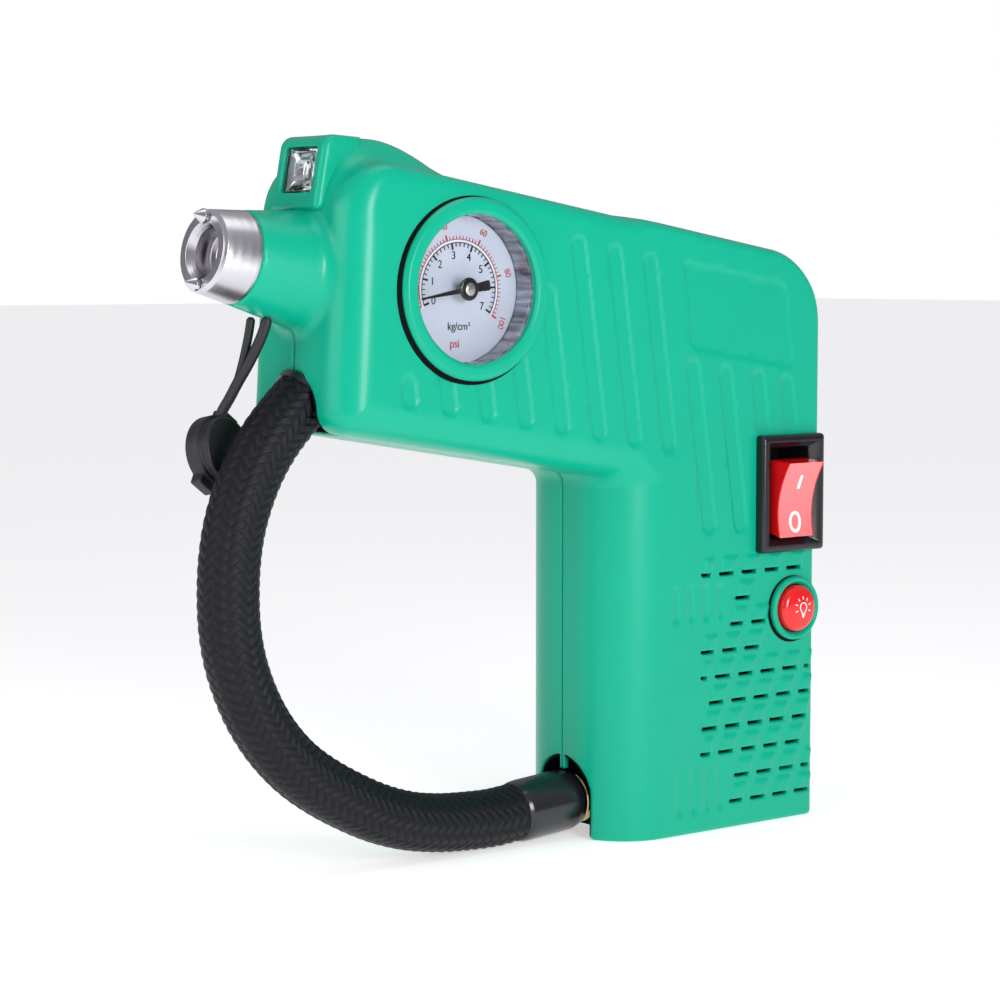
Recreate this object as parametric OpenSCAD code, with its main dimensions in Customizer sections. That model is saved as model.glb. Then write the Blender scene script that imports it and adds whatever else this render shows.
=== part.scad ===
// Handheld 12 V air pump with a pistol body: a tilted barrel on an upright grip, a pressure
// gauge, a lamp, a steel nose and a braided hose stowed as a loop in front of the grip.
// Millimetres. X runs from the nose (-X) to the back (+X), the gauge side faces -Y, Z is up.
// The origin is the centre of the grip's flat base.

/* [Body] */
// Width of the whole body across the two shells
body_w = 42.2; // [40:0.2:46]
// Length of the grip's base from front to back
grip_l = 71.6; // [70:0.2:76]
// Tilt of the barrel, nose up
tilt = 9.4; // [9:0.1:10]
// Wall thickness of the shells
wall = 2.2; // [1.8:0.1:2.6]
// Radius of the grip's front edges seen from above
grip_r = 16.6; // [12:0.2:17]

/* [Gauge] */
// Outer diameter of the raised ring around the gauge
gauge_d = 43.7; // [42:0.1:46]
// Diameter of the gauge's open window
window_d = 35.7; // [35:0.1:36.5]

/* [Switch and button] */
// Height of the rocker switch's frame
switch_h = 30.8; // [30:0.2:31.6]
// Width of the rocker switch's frame
switch_w = 22.6; // [22:0.2:23]
// Diameter of the round lamp button
button_d = 12.2; // [11.6:0.1:12.4]

/* [Nose] */
// Diameter of the steel nose where it leaves the body
nose_d = 22.3; // [22:0.1:23]
// Diameter of the bore through the steel nose's front
nose_bore_d = 11; // [10:0.5:12]

/* [Hose] */
// Outer diameter of the braided hose
hose_d = 14.6; // [14:0.1:14.6]
// Diameter of the black sleeve crimped on the hose's free end
ferrule_d = 15.8; // [15.4:0.1:15.8]

/* [Drive] */
// Gear module of the motor pinion and the crank gear
gear_m = 0.8; // [0.8:0.1:0.8]
// Teeth on the motor pinion
pinion_n = 10; // [10:1:10]
// Teeth on the crank gear
crank_n = 40; // [40:1:40]
// Diameter of the cylinder's bore
bore_d = 20; // [18:1:20]
// Piston stroke
stroke = 12; // [10:1:12]

/* [Hidden] */
$fn = 48;
half_w = body_w / 2;
half_l = grip_l / 2;
inner_w = half_w - wall;
eps = 0.01;
fit = 0.05;                    // radial running clearance

// ---- side outline -------------------------------------------------------------------------
slope = tan(tilt);
function z_top(x) = 153.1 - slope * x;
function z_under(x) = 88 - slope * x;
chin = [-119.5, 107.8];
brow = [-116.05, 172.3];
// corners of the side outline as [x, z, radius], counter-clockwise seen from -Y
OUTLINE = [
  [-half_l, 0, 1.5], [half_l, 0, 4], [half_l, z_top(half_l), 16], [brow.x, brow.y, 14],
  [chin.x, chin.y, 5], [-half_l, z_under(-half_l), 7]
];
function xz(c) = [c.x, c.y];
function unit(v) = v / norm(v);
function at(list, i) = list[(i + len(list)) % len(list)];
// the corner moved inwards by d, with its radius kept in step
function inset_corner(list, i, d) =
  let (p = xz(list[i]), u = unit(xz(at(list, i - 1)) - p), v = unit(xz(at(list, i + 1)) - p))
  let (convex = cross(p - xz(at(list, i - 1)), xz(at(list, i + 1)) - p) > 0 ? 1 : -1)
  let (q = p + convex * unit(u + v) * d / sin(acos(u * v) / 2))
  [q.x, q.y, max(0.4, list[i][2] - convex * d)];
function inset(list, d) = [for (i = [0:len(list) - 1]) inset_corner(list, i, d)];
// points of the arc that rounds corner i
function arc(list, i, steps = 10) =
  let (p = xz(list[i]), u = unit(xz(at(list, i - 1)) - p), v = unit(xz(at(list, i + 1)) - p))
  let (half = acos(u * v) / 2, r = list[i][2], centre = p + unit(u + v) * r / sin(half))
  let (a = p + u * r / tan(half) - centre, b = p + v * r / tan(half) - centre)
  let (from = atan2(a.y, a.x), turn = atan2(b.y, b.x) - from)
  let (sweep = turn > 180 ? turn - 360 : turn < -180 ? turn + 360 : turn)
  [for (k = [0:steps]) centre + r * [cos(from + sweep * k / steps), sin(from + sweep * k / steps)]];
function rounded(list, steps = 10) = [for (i = [0:len(list) - 1]) each arc(list, i, steps)];

// ---- helpers ------------------------------------------------------------------------------
// a side-view profile made solid from y0 to y1
module side_slab(y0, y1) {
  translate([0, y1, 0]) rotate([90, 0, 0]) linear_extrude(y1 - y0) children();
}
// the barrel's own frame: origin where the nose axis leaves the face, -x out of the nose
nose_at = [-117.6, 0, 145.5];
module barrel_frame() {
  translate(nose_at) rotate([0, tilt, 0]) children();
}
module round_rect(w, h, r) {
  square([w - 2 * r, h], center = true);
  square([w, h - 2 * r], center = true);
  for (sx = [-1, 1], sy = [-1, 1])
    translate([sx * (w / 2 - r), sy * (h / 2 - r)]) circle(r);
}
// a disc or ring with its axis along Y, from y0 to y1
module y_cyl(x, z, r, y0, y1, r2 = undef) {
  translate([x, y0, z]) rotate([-90, 0, 0]) cylinder(h = y1 - y0, r1 = r, r2 = is_undef(r2) ? r : r2);
}
module x_cyl(y, z, r, x0, x1) {
  translate([x0, y, z]) rotate([0, 90, 0]) cylinder(h = x1 - x0, r = r);
}
module z_cyl(x, y, r, z0, z1) {
  translate([x, y, z0]) cylinder(h = z1 - z0, r = r);
}
module keep_right() {
  intersection() {
    children();
    translate([-200, -60, -10]) cube([300, 60, 220]);
  }
}
module keep_left() {
  intersection() {
    children();
    translate([-200, 0, -10]) cube([300, 60, 220]);
  }
}

// ---- body form ----------------------------------------------------------------------------
bar_top = 26.7;                // barrel's top and underside from the nose axis
bar_under = -37.9;
cone_l = 17;
cone_d = 27.9;
over = 1;                      // the tilted bar is wider than the body, whose flat sides trim it
// the barrel as a tilted bar with rounded edges, also rounded in plan at its front
module barrel_form(d) {
  w = body_w - 2 * d + over;
  barrel_frame() intersection() {
    translate([-6, 0, (bar_top + bar_under) / 2]) rotate([90, 0, 90]) linear_extrude(166)
      round_rect(w, bar_top - bar_under + 6 - 2 * d, 5.5 - d / 2);
    translate([-9 + d, 0, -60]) linear_extrude(120) translate([90, 0]) round_rect(180, w, 9 - d);
  }
}
module grip_form(d) {
  front = -half_l + d;
  back = half_l - d;
  r = grip_r - d;
  y = half_w - d;
  translate([0, 0, d - 1]) linear_extrude(170) {
    translate([front + r, -y]) square([back - front - r - 3, 2 * y]);
    translate([front, -(y - r)]) square([back - front, 2 * (y - r)]);
    translate([back - 6, -(y - 3)]) square([6, 2 * (y - 3)]);
    for (s = [-1, 1]) {
      translate([front + r, s * (y - r)]) circle(r);
      translate([back - 3, s * (y - 3)]) circle(3);
    }
  }
}
module body_form(d) {
  intersection() {
    side_slab(-half_w + d, half_w - d) polygon(rounded(inset(OUTLINE, d)));
    union() {
      barrel_form(d);
      grip_form(d);
    }
  }
}
module nose_cone() {
  barrel_frame() translate([-cone_l, 0, 0]) rotate([0, 90, 0])
    cylinder(h = cone_l + 6, r1 = nose_d / 2, r2 = cone_d / 2 + 1.6);
}

// ---- lamp housing -------------------------------------------------------------------------
lamp_w = 18;
LAMP_SIDE = [
  [-118.3, 160.6, 0.6], [-95, 158, 0.6], [-81, 160, 0.6], [-80.6, 166.6, 2], [-90, 175.6, 4],
  [-115.4, 177, 3]
];
lens_w = 11.2;
lens_h = 10.3;
lens_at = [-116.3, 0, 168.8];
lamp_lean = 10;
module lamp_block() {
  intersection() {
    side_slab(-lamp_w / 2, lamp_w / 2) polygon(rounded(LAMP_SIDE));
    translate([-99, 0, 150]) linear_extrude(40) round_rect(40.4, lamp_w, 2.6);
  }
}
module lamp_window(w, h, x0, x1) {
  translate(lens_at) rotate([0, lamp_lean, 0]) translate([x0, 0, 0])
    rotate([90, 0, 90]) linear_extrude(x1 - x0) round_rect(w, h, 2);
}

// ---- gauge, switch and button places ------------------------------------------------------
gauge_at = [-80.7, 140.8];
case_r = 19.2;
dial_r = 17.7;
dial_depth = 6.3;
ring_proud = 1.8;
switch_at = [23.8, 87];
bezel_proud = 3;
cutout = [18.4, 26.8];
button_at = [26.3, 56.3];
collar_d = 16.8;
collar_proud = 1.8;

// ---- grooves ------------------------------------------------------------------------------
groove_w = 5.4;
groove_lean = 8.3;
groove_depth = 0.7;
groove_pitch = 11.7;
// outline of a leaning groove, given by its right edge's foot, its foot's and its top's height
function groove(x, z0, z1, w = groove_w, lean = groove_lean, r = 2.4) =
  let (up = (z1 - z0) * [-sin(lean), cos(lean)], left = -w * [cos(lean), sin(lean)])
  let (foot = [x, z0])
  rounded([for (p = [foot, foot + up, foot + up + left, foot + left]) [p.x, p.y, r]], 3);
module cut_grooves(list) {
  side_slab(-half_w - 1, -half_w + groove_depth) for (g = list) polygon(g);
}
BARREL_TOPS = [121.6, 127, 127, 127, 142.8, 155.1, 153, 150.9];
module barrel_grooves() {
  cut_grooves([
    for (i = [0:len(BARREL_TOPS) - 1]) let (x = -96.9 + groove_pitch * i)
      groove(x, z_under(x) + 8.9, BARREL_TOPS[i])
  ]);
}
GRIP_GROOVES = [[-0.9, 77.9, 124], [10.2, 77.4, 122], [18, 102.6, 120.4], [28.2, 102.6, 118.8]];
module grip_grooves() {
  cut_grooves([
    for (g = GRIP_GROOVES) groove(g[0], g[1], g[2]),
    for (i = [0:3]) groove(-13.6 + 5.2 * i, 55, 65, 3.2, 0.6, 0.8),
    for (i = [0:3]) groove(-12.4 + 4.75 * i, 5.4, 17.8, 2.6, 0.6, 0.8)
  ]);
}
module label_recess() {
  side_slab(-half_w - 1, -half_w + 0.4)
    polygon([[-13.6, 148.2], [23.2, 142.1], [26.2, 119], [-11, 125.2]]);
}

// ---- vents --------------------------------------------------------------------------------
vent_rows = 10;
vent_pitch = 8.1;
vent_row_h = 6.66;
vent_w = 5.4;
vent_h = 4.6;
vent_shift = -2.3;
vent_slant = 1.3;
vent_top = 66.9;
vent_left = -6.5;
vent_inner_left = 3.9;
vent_right = 33;
function vent_z(row) = vent_top - row * vent_row_h;
function row_left(row) = (row == 1 || row == 2 || row >= 8) ? vent_inner_left : vent_left;
function clear_of_button(x, w, z) =
  norm([max(x - button_at.x, button_at.x - x - w, 0), max(z - button_at.y, button_at.y - z - vent_h, 0)])
  > collar_d / 2 + 0.3;
// every cell as [x, z, width], cut off at the panel's edges
VENTS = [
  for (row = [0:vent_rows - 1], i = [-2:8])
    let (x = -0.3 + vent_shift * row + vent_pitch * i, a = max(x, row_left(row)))
    let (b = min(x + vent_w, vent_right), z = vent_z(row))
    if (b - a > 1.2 && clear_of_button(a, b - a, z)) [a, z, b - a]
];
slot_h = 0.9;
module vent_cut() {
  for (v = VENTS) {
    side_slab(-half_w - 1, -half_w + 0.8) translate([v[0], v[1]])
      polygon([[0, 0], [v[2], 0], [v[2] + vent_slant, vent_h], [vent_slant, vent_h]]);
    side_slab(-half_w - 1, -inner_w + 1) translate([v[0], v[1]]) square([v[2], slot_h]);
  }
}

// ---- notches for the hose -----------------------------------------------------------------
notch_r = 10;
outlet_top = 121;
stow_top = 21;
// an arch open downwards, given by its top, as a slab from x0 to x1
module arch(top, r, x0, x1, low) {
  translate([x0, 0, 0]) rotate([90, 0, 90]) linear_extrude(x1 - x0) {
    translate([0, top - r]) circle(r);
    translate([-r, low]) square([2 * r, top - r - low]);
  }
}
stow_x = -20;
module stow_tab() {
  translate([-half_l, -0.8, 17.4]) cube([2, 1.6, stow_top - 17.3]);
}

// ---- screws -------------------------------------------------------------------------------
SCREWS = [[-107, 150], [-40, 147], [26, 134], [27, 109], [-27, 44], [27, 11]];
boss_r = 4.2;
thread_r = 1.3;
screw_head_y = 9;

// ---- shells -------------------------------------------------------------------------------
module shell_blank() {
  difference() {
    union() {
      body_form(0);
      nose_cone();
    }
    difference() {
      body_form(wall);
      for (s = SCREWS) y_cyl(s[0], s[1], boss_r, -half_w, half_w);
      barrel_frame() x_cyl(0, 0, 12.5, -2, 8);
      difference() {
        arch(outlet_top + 2, notch_r + 2, -130, -108, 90);
        arch(outlet_top, notch_r, -131, -110, 80);
      }
      difference() {
        arch(stow_top + 2, notch_r + 2, -50, stow_x, -5);
        arch(stow_top, notch_r, -51, stow_x - wall, -6);
      }
      for (z = [56, 92]) difference() {
        translate([-34, -half_w, z]) cube([48, body_w, 2]);
        z_cyl(motor_at, 0, motor_r, z - 1, z + 3);
      }
    }
    arch(outlet_top, notch_r, -131, -110, 80);
    arch(stow_top, notch_r, -51, stow_x - wall, -6);
    barrel_frame() {
      x_cyl(0, 0, shank_r, -cone_l - 1, 9);
    }
    lamp_block();
    translate([-130, -4, 133]) cube([4.4, 8, 3.2]);
    x_cyl(0, inlet_z, 5.6, 20, 40);
    x_cyl(0, inlet_z, 7, 20, half_l - wall);
    elbow_hole();
    chuck_hole();
  }
}
module right_shell() {
  color("mediumseagreen") keep_right() union() {
    difference() {
      shell_blank();
      y_cyl(gauge_at.x, gauge_at.y, case_r, -half_w - 1, -inner_w + 1);
      translate([switch_at.x, 0, switch_at.y])
        cube_xz(cutout, -half_w - 1, -inner_w + 1);
      y_cyl(button_at.x, button_at.y, button_d / 2 + 0.3, -half_w - 1, -inner_w + 1);
      barrel_grooves();
      grip_grooves();
      label_recess();
      vent_cut();
      for (s = SCREWS) y_cyl(s[0], s[1], thread_r, -12, 1);
    }
    stow_tab();
  }
}
module cube_xz(size, y0, y1) {
  translate([-size.x / 2, y0, -size.y / 2]) cube([size.x, y1 - y0, size.y]);
}
module left_shell() {
  color("mediumseagreen") keep_left() union() {
    difference() {
      shell_blank();
      mirror([0, 1, 0]) {
        barrel_grooves();
        vent_cut();
        label_recess();
      }
      for (s = SCREWS) {
        y_cyl(s[0], s[1], thread_r + 0.2, -1, 12);
        y_cyl(s[0], s[1], 2.9, screw_head_y, half_w + 1);
      }
    }
    stow_tab();
  }
}
module housing_screws() {
  color("dimgray") for (s = SCREWS) difference() {
    union() {
      y_cyl(s[0], s[1], thread_r, -10, screw_head_y);
      y_cyl(s[0], s[1], 2.6, screw_head_y, screw_head_y + 2.2, 2.2);
    }
    for (a = [0, 90]) translate([s[0], screw_head_y + 1.2, s[1]]) rotate([0, a, 0])
      translate([-1.5, 0, -0.35]) cube([3, 2, 0.7]);
  }
}

// ---- lamp ---------------------------------------------------------------------------------
module lamp_housing() {
  color("mediumseagreen") difference() {
    lamp_block();
    lamp_window(lens_w, lens_h, -5, 2.5);
    lamp_window(lens_w - 1.6, lens_h - 1.6, 2.4, 12);
  }
}
module lamp_reflector() {
  color("silver") intersection() {
    translate(lens_at) rotate([0, lamp_lean, 0]) difference() {
      rotate([90, 0, 90]) linear_extrude(8.6) round_rect(lens_w - 1.6, lens_h - 1.6, 1.4);
      translate([1.2 - eps, 0, 0]) rotate([0, 90, 0]) cylinder(h = 6.5, r1 = 4.1, r2 = 1.7);
      translate([5, 0, 0]) rotate([0, 90, 0]) cylinder(h = 5, r = 1.7);
      translate([-1, -8, -8]) cube([3.5, 16, 16]);
    }
    lamp_window(lens_w - 1.6, lens_h - 1.6, -1, 12);
  }
}
module lamp_lens() {
  color("lightcyan", 0.5) {
    lamp_window(lens_w, lens_h, 0.4, 1.6);
    translate(lens_at) rotate([0, lamp_lean, 0]) translate([1.6, 0, 0]) rotate([0, 90, 0])
      cylinder(h = 0.8, r1 = 4, r2 = 3.4);
  }
}
module lamp_board() {
  color("darkgreen") lamp_window(lens_w - 1.8, lens_h - 1.8, 8.7, 10);
}
module lamp_led() {
  color("khaki") translate(lens_at) rotate([0, lamp_lean, 0]) translate([6.9, 0, 0])
    rotate([0, 90, 0]) cylinder(h = 1.8, r = 1.5);
}

// ---- gauge --------------------------------------------------------------------------------
module gauge_spin(y) {
  translate([gauge_at.x, y, gauge_at.y]) rotate([90, 0, 0]) rotate_extrude() children();
}
module gauge_ring() {
  color("mediumseagreen") gauge_spin(-half_w)
    polygon([
      [window_d / 2, 0], [gauge_d / 2, 0], [gauge_d / 2, ring_proud * 0.6],
      [gauge_d / 2 - 0.7, ring_proud], [window_d / 2 + 0.5, ring_proud],
      [window_d / 2, ring_proud * 0.7]
    ]);
}
module gauge_case() {
  back = dial_depth + 3.5;
  color("gainsboro") gauge_spin(-half_w)
    polygon([
      [window_d / 2, 0], [case_r, 0], [case_r, -back], [5, -back], [5, 1 - back],
      [15, 1 - back], [15, -dial_depth - 0.7], [window_d / 2, -dial_depth - 0.7]
    ]);
}
module gauge_dial() {
  y0 = -half_w + dial_depth;
  color("aliceblue") difference() {
    y_cyl(gauge_at.x, gauge_at.y, dial_r, y0, y0 + 0.7);
    y_cyl(gauge_at.x, gauge_at.y, 1, y0 - 1, y0 + 2);
  }
}
needle_turn = 99;              // direction of the needle at rest, from straight up, anticlockwise
needle_l = 14.2;
needle_tail = 6.4;
module gauge_needle() {
  color("black") difference() {
    union() {
      y_cyl(gauge_at.x, gauge_at.y, 2.8, -half_w + 2.1, -half_w + 2.6);
      translate([gauge_at.x, -half_w + 2.6, gauge_at.y]) rotate([0, -needle_turn, 0])
        rotate([90, 0, 0]) linear_extrude(0.5)
          polygon([
            [-0.9, 0], [-1.2, -needle_tail], [1.2, -needle_tail], [0.9, 0], [0.25, needle_l],
            [-0.25, needle_l]
          ]);
    }
    y_cyl(gauge_at.x, gauge_at.y, 1 + fit, -half_w + 1, -half_w + 3);
  }
}
module gauge_pivot() {
  color("silver") union() {
    y_cyl(gauge_at.x, gauge_at.y, 1, -half_w + 1.9, -half_w + dial_depth + 1.4);
    y_cyl(gauge_at.x, gauge_at.y, 1.7, -half_w + 1.5, -half_w + 2);
  }
}
module gauge_glass() {
  color("white", 0.3) y_cyl(gauge_at.x, gauge_at.y, 16.9, -half_w + 0.2, -half_w + 0.8);
}
module gauge_stem() {
  color("darkgoldenrod") union() {
    y_cyl(gauge_at.x, gauge_at.y, 5, -half_w + 8.8, -half_w + 9.8);
    y_cyl(gauge_at.x, gauge_at.y, 6.5, -half_w + 9.8, -4);
    y_cyl(gauge_at.x, gauge_at.y, 4, -4, 0);
  }
}

// ---- nose ---------------------------------------------------------------------------------
ring_l = 9.6;
ring_front_d = 19.1;
shank_r = 8;
tip_r = 7.3;
module hammer_head() {
  color("silver") barrel_frame() difference() {
    rotate([0, 90, 0]) rotate_extrude()
      polygon([
        [nose_bore_d / 2, -cone_l + 2], [nose_bore_d / 2, -cone_l - ring_l + 3],
        [nose_bore_d / 2 + 1, -cone_l - ring_l + 3], [nose_bore_d / 2 + 1.4, -cone_l - ring_l],
        [ring_front_d / 2 - 0.5, -cone_l - ring_l], [ring_front_d / 2, -cone_l - ring_l + 0.7],
        [nose_d / 2 - 0.2, -cone_l - 0.6], [nose_d / 2 - 0.2, -cone_l], [shank_r, -cone_l],
        [shank_r, 8], [3, 8], [3, -cone_l + 2]
      ]);
    for (s = [-1, 1]) translate([-cone_l - ring_l - eps, 0, s * (tip_r + 0.6)]) rotate([0, 90, 0])
      cylinder(h = 2.5, r = 1);
  }
}
module hammer_tips() {
  color("gray") barrel_frame() for (s = [-1, 1])
    translate([-cone_l - ring_l, 0, s * (tip_r + 0.6)]) {
      rotate([0, 90, 0]) cylinder(h = 2.4, r = 1);
      rotate([0, -90, 0]) cylinder(h = 2.6, r1 = 1.5, r2 = 0.3);
    }
}

// ---- nose cap on its tether ---------------------------------------------------------------
cap_at = [-130.8, 13.4, 102.6];
cap_r = 8.7;
cap_turn = [0, -32, 24];       // turns the cap's closed face down and out
module cap_frame() {
  translate(cap_at) rotate([0, 0, cap_turn[2]]) rotate([-14, cap_turn[1], 0]) rotate([90, 0, 0]) children();
}
module nose_cap() {
  color("black") cap_frame() difference() {
    union() {
      cylinder(h = 6.4, r = cap_r - 1, center = true);
      translate([0, 0, -3.2]) cylinder(h = 4, r = cap_r);
      for (a = [200, 20]) rotate(a) translate([cap_r - 1.4, -3, -3.2]) cube([3, 6, 3]);
    }
    translate([0, 0, -4]) cylinder(h = 5.2, r = 5.2);
  }
}
tether_r = 1.35;
// the long strand runs from the slot under the nose to the cap, the short one joins it
TETHER = [
  [-127.2, -2.2, 134.6], [-127.9, -0.6, 130], [-129.2, 2.6, 124], [-130.6, 5.6, 119],
  [-131.4, 7.8, 115.4], [-132, 9.8, 112.6], [-132.25, 10.5, 111.3]
];
TETHER_SHORT = [[-128.4, 3, 134.4], [-128.9, 3.5, 130], [-129.8, 4.5, 124], [-130.7, 5.9, 118.4]];
module strand(p, r) {
  for (i = [0:len(p) - 2]) hull() {
    translate(p[i]) sphere(r, $fn = 10);
    translate(p[i + 1]) sphere(r, $fn = 10);
  }
}
module cap_tether() {
  color("black") {
    strand(TETHER, tether_r);
    strand(TETHER_SHORT, tether_r - 0.25);
  }
}

// ---- swept tubes --------------------------------------------------------------------------
function tangent(p, i) = unit(p[min(i + 1, len(p) - 1)] - p[max(i - 1, 0)]);
function across(t) = unit(cross(t, abs(t.y) > 0.95 ? [1, 0, 0] : [0, 1, 0]));
function ring_at(p, i, r, n) =
  let (t = tangent(p, i), u = across(t), v = cross(t, u))
  [for (k = [0:n - 1]) p[i] + r * (cos(360 * k / n) * u + sin(360 * k / n) * v)];
module tube(p, r, n) {
  m = len(p);
  points = [for (i = [0:m - 1]) each ring_at(p, i, r, n)];
  sides = [for (i = [0:m - 2], k = [0:n - 1])
    [(i + 1) * n + k, (i + 1) * n + (k + 1) % n, i * n + (k + 1) % n, i * n + k]];
  polyhedron(points, concat(
    [[for (k = [0:n - 1]) k]], sides, [[for (k = [0:n - 1]) m * n - 1 - k]]));
}

// ---- hose ---------------------------------------------------------------------------------
// the hose's centre line from the barrel's outlet round to its black sleeve
HOSE = [
  [-116, 0, 115], [-120.4, 0, 111], [-125.4, 0, 105.6], [-129.6, 0, 99.6], [-133, 0, 92.8],
  [-135.6, 0, 85.2], [-137, 0, 77.2], [-137.4, 0, 69], [-137, 0, 61.4], [-135.6, 0, 54],
  [-133, 0, 46.6], [-129.4, 0, 39.6], [-124.6, 0, 33], [-118.6, 0, 27], [-111.4, 0, 21.8],
  [-103, 0, 17], [-94, 0, 12.8], [-85, 0, 9.9], [-76, 0, 8.3], [-67, 0, 7.6], [-59, 0, 7.4],
  [-52, 0, 7.9]
];
module air_hose() {
  color("black") tube(HOSE, hose_d / 2, 12);
}
out_dir = unit(HOSE[0] - HOSE[1]);
out_turn = atan2(out_dir.x, out_dir.z);
module outlet_frame() {
  translate(HOSE[0]) rotate([0, out_turn, 0]) children();
}
collar_l = 3.4;                // crimped collar at the barrel's outlet
collar_r = hose_d / 2 + 0.5;
elbow_r = 5;
pipe_r = 3.4;
pipe_end = 27;                 // the pipe's end, inside the manifold
module hose_collar() {
  color("silver") outlet_frame() difference() {
    union() {
      cylinder(h = 2, r = collar_r);
      translate([0, 0, 2]) cylinder(h = collar_l - 2, r1 = collar_r, r2 = elbow_r);
    }
    translate([0, 0, 2]) cylinder(h = 3, r = elbow_r - 1);
  }
}
module elbow_hole() {
  outlet_frame() {
    translate([0, 0, -4]) cylinder(h = 6.1, r = collar_r + 0.1);
    translate([0, 0, 2]) cylinder(h = 1.6, r1 = collar_r + 0.1, r2 = elbow_r);
    translate([0, 0, 3]) cylinder(h = 17, r = elbow_r + fit);
  }
}
module outlet_elbow() {
  color("darkgoldenrod") outlet_frame() difference() {
    union() {
      translate([0, 0, 2]) cylinder(h = collar_l - 2, r = elbow_r - 1);
      translate([0, 0, collar_l]) cylinder(h = 12 - collar_l, r = elbow_r);
      translate([0, 0, 12]) cylinder(h = pipe_end - 12, r = pipe_r);
    }
    translate([0, 0, 1]) cylinder(h = pipe_end, r = 2);
  }
}
in_dir = unit([-29.8, 0, 9.7] - [-52, 0, 7.9]);
in_turn = atan2(in_dir.x, in_dir.z);
module inlet_frame() {
  translate(HOSE[len(HOSE) - 1]) rotate([0, in_turn, 0]) children();
}
ferrule_l = 19.4;
nut_l = 2.8;
module hose_ferrule() {
  color("black") inlet_frame() {
    cylinder(h = 1, r1 = ferrule_d / 2 - 0.7, r2 = ferrule_d / 2);
    translate([0, 0, 1]) cylinder(h = ferrule_l - 2.6, r = ferrule_d / 2);
    translate([0, 0, ferrule_l - 1.6]) cylinder(h = 1.6, r1 = ferrule_d / 2, r2 = ferrule_d / 2 - 1.1);
  }
}
module chuck_nut() {
  color("goldenrod") inlet_frame() difference() {
    translate([0, 0, ferrule_l]) cylinder(h = nut_l, r = 6.7);
    translate([0, 0, ferrule_l + 1]) cylinder(h = nut_l, r = 4.6);
  }
}
module chuck_body() {
  color("goldenrod") inlet_frame() difference() {
    translate([0, 0, ferrule_l + 1]) cylinder(h = 14, r = 4.6);
    translate([0, 0, ferrule_l + 8]) cylinder(h = 8, r = 2.6);
  }
}
module chuck_hole() {
  inlet_frame() translate([0, 0, ferrule_l + nut_l]) cylinder(h = 16, r = 6.2);
}
module stow_socket() {
  color("black") inlet_frame() difference() {
    translate([0, 0, ferrule_l + nut_l]) cylinder(h = 13.6, r = 6.2);
    translate([0, 0, ferrule_l]) cylinder(h = 15, r = 4.6);
    translate([0, 0, ferrule_l + 14]) cylinder(h = 6, r = 2);
  }
}

// ---- rocker switch ------------------------------------------------------------------------
rocker_w = 12.6;
rocker_window = [13.4, 23.8];
pivot_y = -17.5;
module switch_bezel() {
  w = [switch_w, switch_h];
  color("black") difference() {
    union() {
      translate([switch_at.x, 0, switch_at.y]) cube_xz(w, -half_w - 1.9, -half_w);
      translate([switch_at.x, -half_w - 1.9, switch_at.y]) rotate([90, 0, 0])
        rim(w, [w.x - 2.2, w.y - 2.2], bezel_proud - 1.9);
    }
    translate([switch_at.x, 0, switch_at.y])
      cube_xz(rocker_window, -half_w - 5, -half_w + 1);
    translate([switch_at.x, -half_w - 1.4, switch_at.y]) rotate([90, 0, 0])
      rim([rocker_window.x + 0.2, rocker_window.y + 0.2],
        [rocker_window.x + 4.2, rocker_window.y + 4.2], bezel_proud - 1.4 + eps);
  }
}
// a four-sided frustum from rectangle a at the bottom to rectangle b at height h
module rim(a, b, h) {
  function rect(s, z) = [[-s.x, -s.y, z] / 2, [s.x, -s.y, z] / 2, [s.x, s.y, z] / 2, [-s.x, s.y, z] / 2];
  polyhedron(
    concat(rect(a, 0), rect(b, 2 * h)),
    [[0, 1, 2, 3], [7, 6, 5, 4], [4, 5, 1, 0], [5, 6, 2, 1], [6, 7, 3, 2], [7, 4, 0, 3]]);
}
module switch_body() {
  color("black") translate([switch_at.x, 0, switch_at.y]) difference() {
    cube_xz(cutout, -half_w, -7);
    cube_xz(rocker_window, -half_w - 1, -10.5);
    x_cyl(pivot_y, 0, 1, -8.4, 8.4);
  }
}
module rocker_pin() {
  color("silver") translate([switch_at.x, 0, switch_at.y]) x_cyl(pivot_y, 0, 1, -8.4, 8.4);
}
rest_tip = 10;
ROCKER = [
  [-9.3, 10], [-8.3, 7], [-7.4, 3.6], [-7, 0], [-7.4, -3.6], [-8.3, -7], [-9.3, -10],
  [-3, -9.6], [3.4, -5], [4.4, 0], [3.4, 5], [-3, 9.6]
];
module switch_rocker() {
  color("red") translate([switch_at.x, pivot_y, switch_at.y]) rotate([rest_tip, 0, 0]) difference() {
    rotate([90, 0, 90]) linear_extrude(rocker_w, center = true) polygon(ROCKER);
    x_cyl(0, 0, 1 + fit, -10, 10);
  }
}
module switch_terminals() {
  color("goldenrod") for (dz = [-8, 0, 8])
    translate([switch_at.x - 3, -7, switch_at.y + dz - 0.4]) cube([6, 6, 0.8]);
}

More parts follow.
